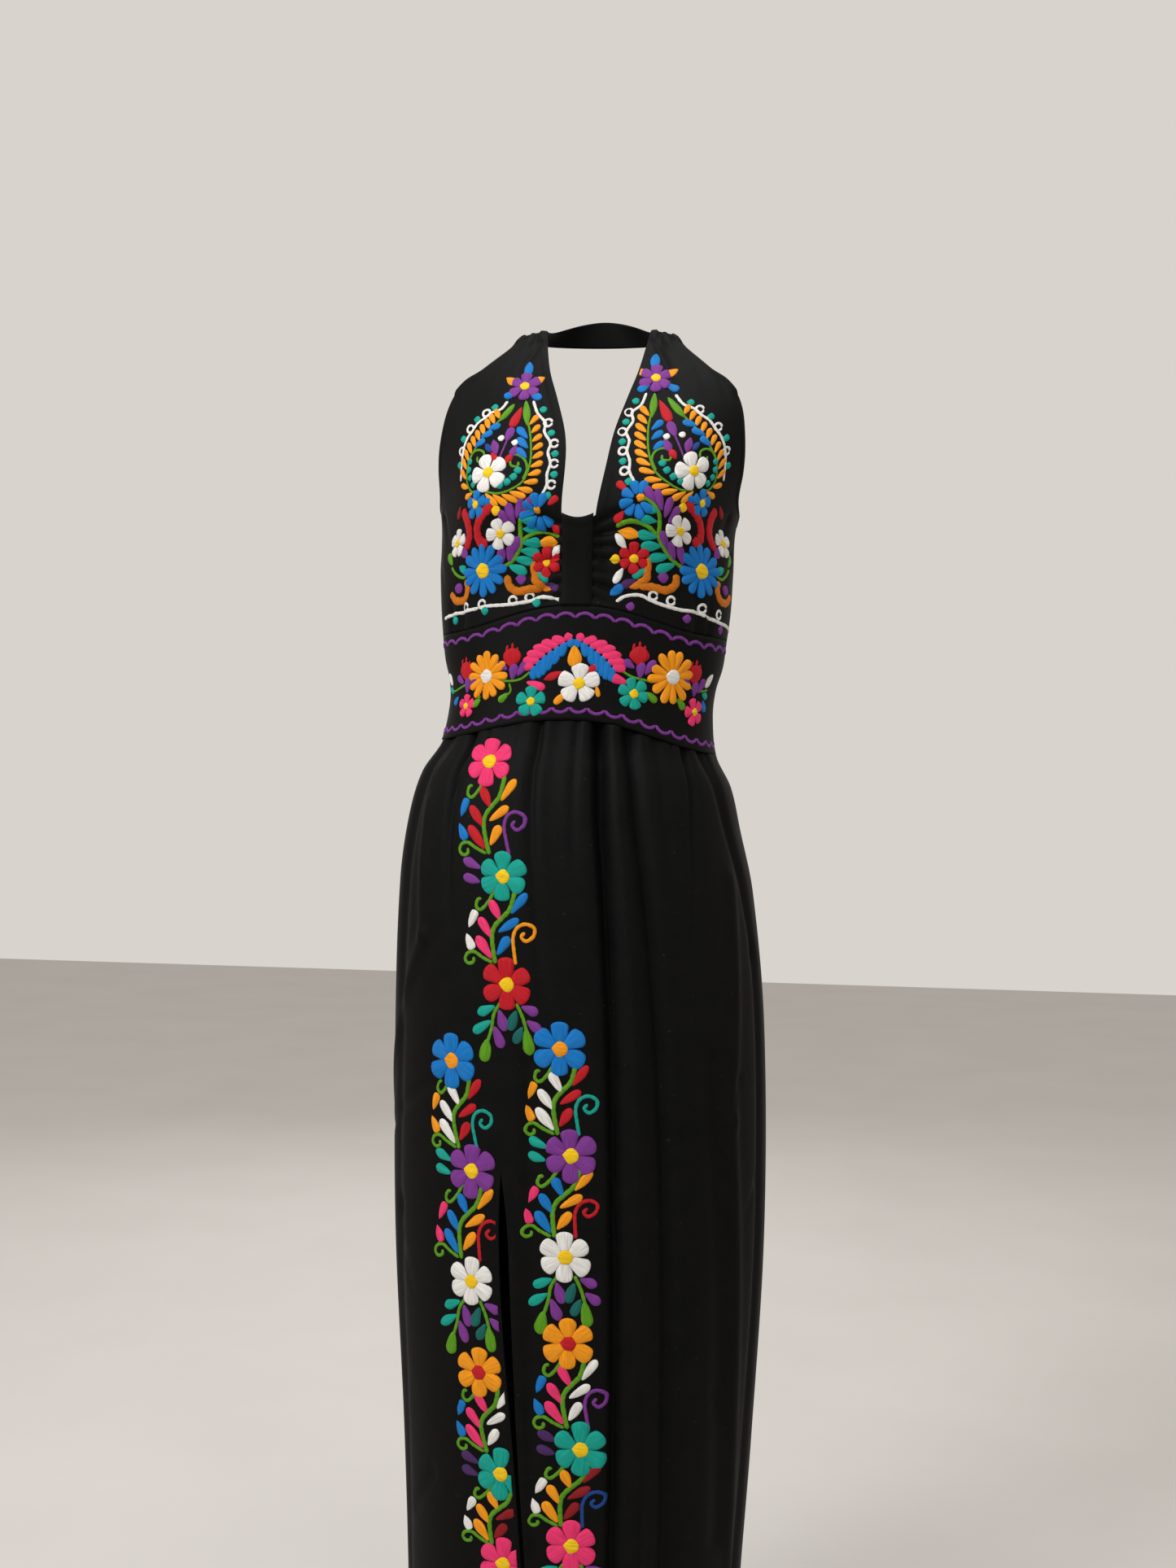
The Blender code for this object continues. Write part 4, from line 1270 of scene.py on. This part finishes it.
CUP_BRANCH = (
    Line("green", 4.4, ((38, 233), (50, 229), (60, 230), (70, 235), (77, 242))),
    Line("green", 4.4, ((57, 208), (67, 209), (74, 215), (79, 224), (79, 235), (78, 243), (84, 254), (92, 263), (104, 270))),
    Leaf("orange", (61, 242), (40, 238), 12, LEAF),
    Leaf("teal", (78, 220), (64, 217), 9),
    Leaf("teal", (77, 229), (61, 227), 9),
    Leaf("teal", (77, 243), (58, 241), 10),
    Leaf("teal", (81, 251), (61, 252), 10),
    Leaf("teal", (88, 260), (69, 263), 10),
    Leaf("teal", (95, 267), (76, 274), 10),
    Leaf("purple", (86, 253), (81, 237), 9),
    Leaf("purple", (94, 264), (89, 246), 10),
    Leaf("purple", (104, 267), (100, 249), 10),
    Leaf("purple", (147, 257), (157, 247), 11),
    Leaf("teal", (162, 265), (151, 270), 9),
    Line("green", 3.4, ((146, 272), (156, 276), (168, 272), (178, 264))),
    Leaf("green", (176, 262), (186, 250), 9),
)
CUP_BASE = (
    Leaf("white", (48, 255), (38, 241), 8),
    Leaf("white", (45, 272), (36, 287), 8),
    Dot("yellow", (37, 264), 5.0),
    Bloom("red", "yellow", (55, 263), 15, 6),
    Line("dark_orange", 8.5, ((67, 272), (67, 281), (61, 288), (74, 290), (87, 292), (96, 286), (97, 276))),
    Leaf("dark_orange", (67, 279), (69, 261), 9, LEAF),
    Leaf("dark_orange", (66, 286), (50, 291), 8, LEAF),
    Dot("purple", (83, 280), 5.6),
    Leaf("teal", (66, 273), (54, 281), 8),
    Leaf("dark_purple", (58, 283), (43, 290), 9),
    Leaf("blue", (46, 288), (32, 299), 10, LEAF),
    Bloom("blue", "yellow", (126, 271), 27, 12),
    Line("dark_orange", 8.5, ((152, 278), (149, 288), (155, 297), (168, 298), (179, 290))),
    Dot("purple", (164, 286), 5.6),
    Line("white", 3.8, ((38, 305), (48, 299), (61, 298), (73, 303), (86, 307), (102, 310), (122, 311), (134, 314))),
    Line("white", 3.8, ((134, 314), (147, 317), (160, 319), (175, 320), (196, 323))),
)
CUP_LOOPS = ((74, 298), (92, 302), (129, 307), (153, 311))
LEFT_LOW_DOTS = ((52, 309), (110, 318), (158, 325))
RIGHT_LOW_DOTS = ((67, 307), (126, 319), (172, 326))
BARB_COUNT = 14


def paisley_barbs(edge, side, lengths, sweeps):
    """Orange barbs along one side of the paisley drop, swept back from its foot."""
    route, _ = smooth_route(edge, BARB_COUNT)
    barbs = []
    for i in range(1, BARB_COUNT):
        share = i / BARB_COUNT
        along = route[i] - route[i - 1]
        along /= np.hypot(*along)
        out = np.array((along[1], -along[0])) * side
        sweep = math.radians(mix(*sweeps, share**2))
        length = mix(*lengths, share**2)
        base = route[i] + out * 1.5
        tip = base + (out * math.cos(sweep) - along * math.sin(sweep)) * length
        barbs.append(Leaf("orange", base, tip, 6.6))
    return barbs


def cup_items(dot_colour, low_dots):
    """Everything on one front, in stitching order."""
    items = [Line("green", 2.4, PAISLEY_INNER), Line("green", 2.4, PAISLEY_OUTER)]
    items += paisley_barbs(PAISLEY_INNER, -1, (14.5, 19.5), (40, 62))
    items += paisley_barbs(PAISLEY_OUTER, 1, (12.0, 15.0), (28, 45))
    items += CUP_CORDS + CUP_INSIDE + CUP_TORCH + CUP_TOP
    items += [Dot("teal", place, 4.0) for place in CUP_DOTS]
    items += CUP_MIDDLE + CUP_BRANCH + CUP_BASE
    items += [Dot(dot_colour, place, 4.4) for place in low_dots]
    return items


# The wearer's right front is a mirrored one, narrower, lower and nearer the tab towards the waistband
RIGHT_WIDTH = 0.93
Shift = namedtuple("Shift", "drop across down inner_down")
RIGHT_SHIFTS = (
    Shift(80, 10.5, 9.0, 0.0),
    Shift(100, 6.0, 5.0, 4.0),
    Shift(120, 2.0, 3.0, 9.0),
    Shift(160, -8.0, 3.0, 10.0),
    Shift(190, -13.0, 5.0, 9.0),
    Shift(220, -17.0, 5.0, 8.0),
    Shift(245, -19.0, 4.0, 5.0),
    Shift(265, -21.5, 3.0, 2.0),
    Shift(300, -23.0, 3.0, 0.0),
    Shift(318, -24.0, -6.0, 0.0),
)


def right_front(point):
    x, drop = point
    drops, *columns = zip(*RIGHT_SHIFTS)
    across, down, inner_down = (np.interp(drop, drops, column) for column in columns)
    inner = 1 - step(35.0, 110.0, x)
    return np.array((-(x * RIGHT_WIDTH + across), drop + down + inner_down * inner))


def within_front(side):
    """Lowest and highest turn of a front at each height, a little inside its edges."""

    def limits(height, turn):
        inner, outer = panel_limits(np.maximum(height, NECK_BOTTOM), side)
        tab = turn_at(TAB_HALF_WIDTH + 0.002, height)
        low = np.where(height > NECK_BOTTOM, inner + 0.6, tab)
        high = np.where(height > UNDERARM, outer - 2.0, side_seam_turn(height) - 1.0)
        return (low, high) if side > 0 else (-high, -low)

    return limits


def front_flowers(threads):
    surface = Surface(CUP_FOLDS + CUP_CREASES, mirrored=True)
    reach = Reach(-0.010, -0.345)
    fronts = (
        ("left_front_embroidery", 1, np.asarray, "purple", LEFT_LOW_DOTS),
        ("right_front_embroidery", -1, right_front, "teal", RIGHT_LOW_DOTS),
    )
    for name, side, put, dot_colour, low_dots in fronts:
        needle = Needlework(name, surface, reach, within_front(side))
        needle.draw(cup_items(dot_colour, low_dots), put)
        for place in CUP_RINGS + CUP_LOOPS:
            needle.ring("white", put(place), 4.0, 3.0)
        needle.make(threads)


# The camera stands level with the dress's middle and looks along the photograph's direction
CAMERA_TARGET = (0.0, -0.086, -0.480)
CAMERA_DISTANCE = 1.70
CAMERA_AZIMUTH = 6.0
CAMERA_ROLL = 1.1
CAMERA_LENS = 38.3
FLOOR_HEIGHT = -1.500


def camera():
    azimuth, roll = math.radians(CAMERA_AZIMUTH), math.radians(CAMERA_ROLL)
    level = np.array((math.cos(azimuth), math.sin(azimuth), 0.0))
    upright = np.array((0.0, 0.0, 1.0))
    ahead = np.array((-math.sin(azimuth), math.cos(azimuth), 0.0))
    right = level * math.cos(roll) + upright * math.sin(roll)
    up = upright * math.cos(roll) - level * math.sin(roll)
    place = np.array(CAMERA_TARGET) - ahead * CAMERA_DISTANCE
    matrix = Matrix.Identity(4)
    for column, axis in enumerate((right, up, -ahead, place)):
        for row in range(3):
            matrix[row][column] = axis[row]
    data = bpy.data.cameras.new("Camera")
    data.sensor_fit = "VERTICAL"
    data.sensor_height = 36.0
    data.lens = CAMERA_LENS
    view = bpy.data.objects.new("Camera", data)
    view.matrix_world = matrix
    bpy.context.scene.collection.objects.link(view)
    bpy.context.scene.camera = view


def soft_light(name, place, aim, size, energy):
    data = bpy.data.lights.new(name, "AREA")
    data.shape = "DISK"
    data.size = size
    data.energy = energy
    lamp = bpy.data.objects.new(name, data)
    direction = np.array(place, float) - np.array(aim, float)
    back = direction / np.linalg.norm(direction)
    right = np.cross((0.0, 0.0, 1.0), back)
    right /= np.linalg.norm(right)
    up = np.cross(back, right)
    matrix = Matrix.Identity(4)
    for column, axis in enumerate((right, up, back, place)):
        for row in range(3):
            matrix[row][column] = axis[row]
    lamp.matrix_world = matrix
    bpy.context.scene.collection.objects.link(lamp)


def studio():
    paint = Paint("pale floor", roughness=0.85)
    cloud = paint.noise(paint.node("TexCoord", output=3), scale=3.0, detail=3.0)
    material = paint.finish(base_color=paint.blend(cloud, (0.50, 0.48, 0.46, 1.0), (0.56, 0.54, 0.52, 1.0)))
    mesh = bpy.data.meshes.new("floor")
    half = 7.0
    corners = [(-half, -half, 0), (half, -half, 0), (half, half, 0), (-half, half, 0)]
    mesh.from_pydata(corners, [], [(0, 1, 2, 3)])
    mesh.materials.append(material)
    floor = bpy.data.objects.new("floor", mesh)
    floor.location.z = FLOOR_HEIGHT
    bpy.context.scene.collection.objects.link(floor)
    world = bpy.data.worlds.new("pale studio")
    world.use_nodes = True
    background = world.node_tree.nodes["Background"]
    background.inputs["Color"].default_value = (0.80, 0.76, 0.71, 1.0)
    background.inputs["Strength"].default_value = 0.86
    bpy.context.scene.world = world
    middle = (0.0, -0.09, -0.60)
    soft_light("key", (-1.7, -2.1, 1.1), middle, 1.1, 62.0)
    soft_light("fill", (2.1, -1.9, 0.2), middle, 2.0, 6.0)
    soft_light("top", (0.2, -0.4, 1.8), middle, 1.4, 26.0)
    soft_light("behind", (-0.6, 2.4, 0.6), middle, 2.2, 22.0)


bpy.context.scene.view_settings.view_transform = "Standard"
camera()
studio()
make_cloth()
threads = {name: thread(name) for name in THREADS}
skirt_flowers(threads)
waist_flowers(threads)
front_flowers(threads)
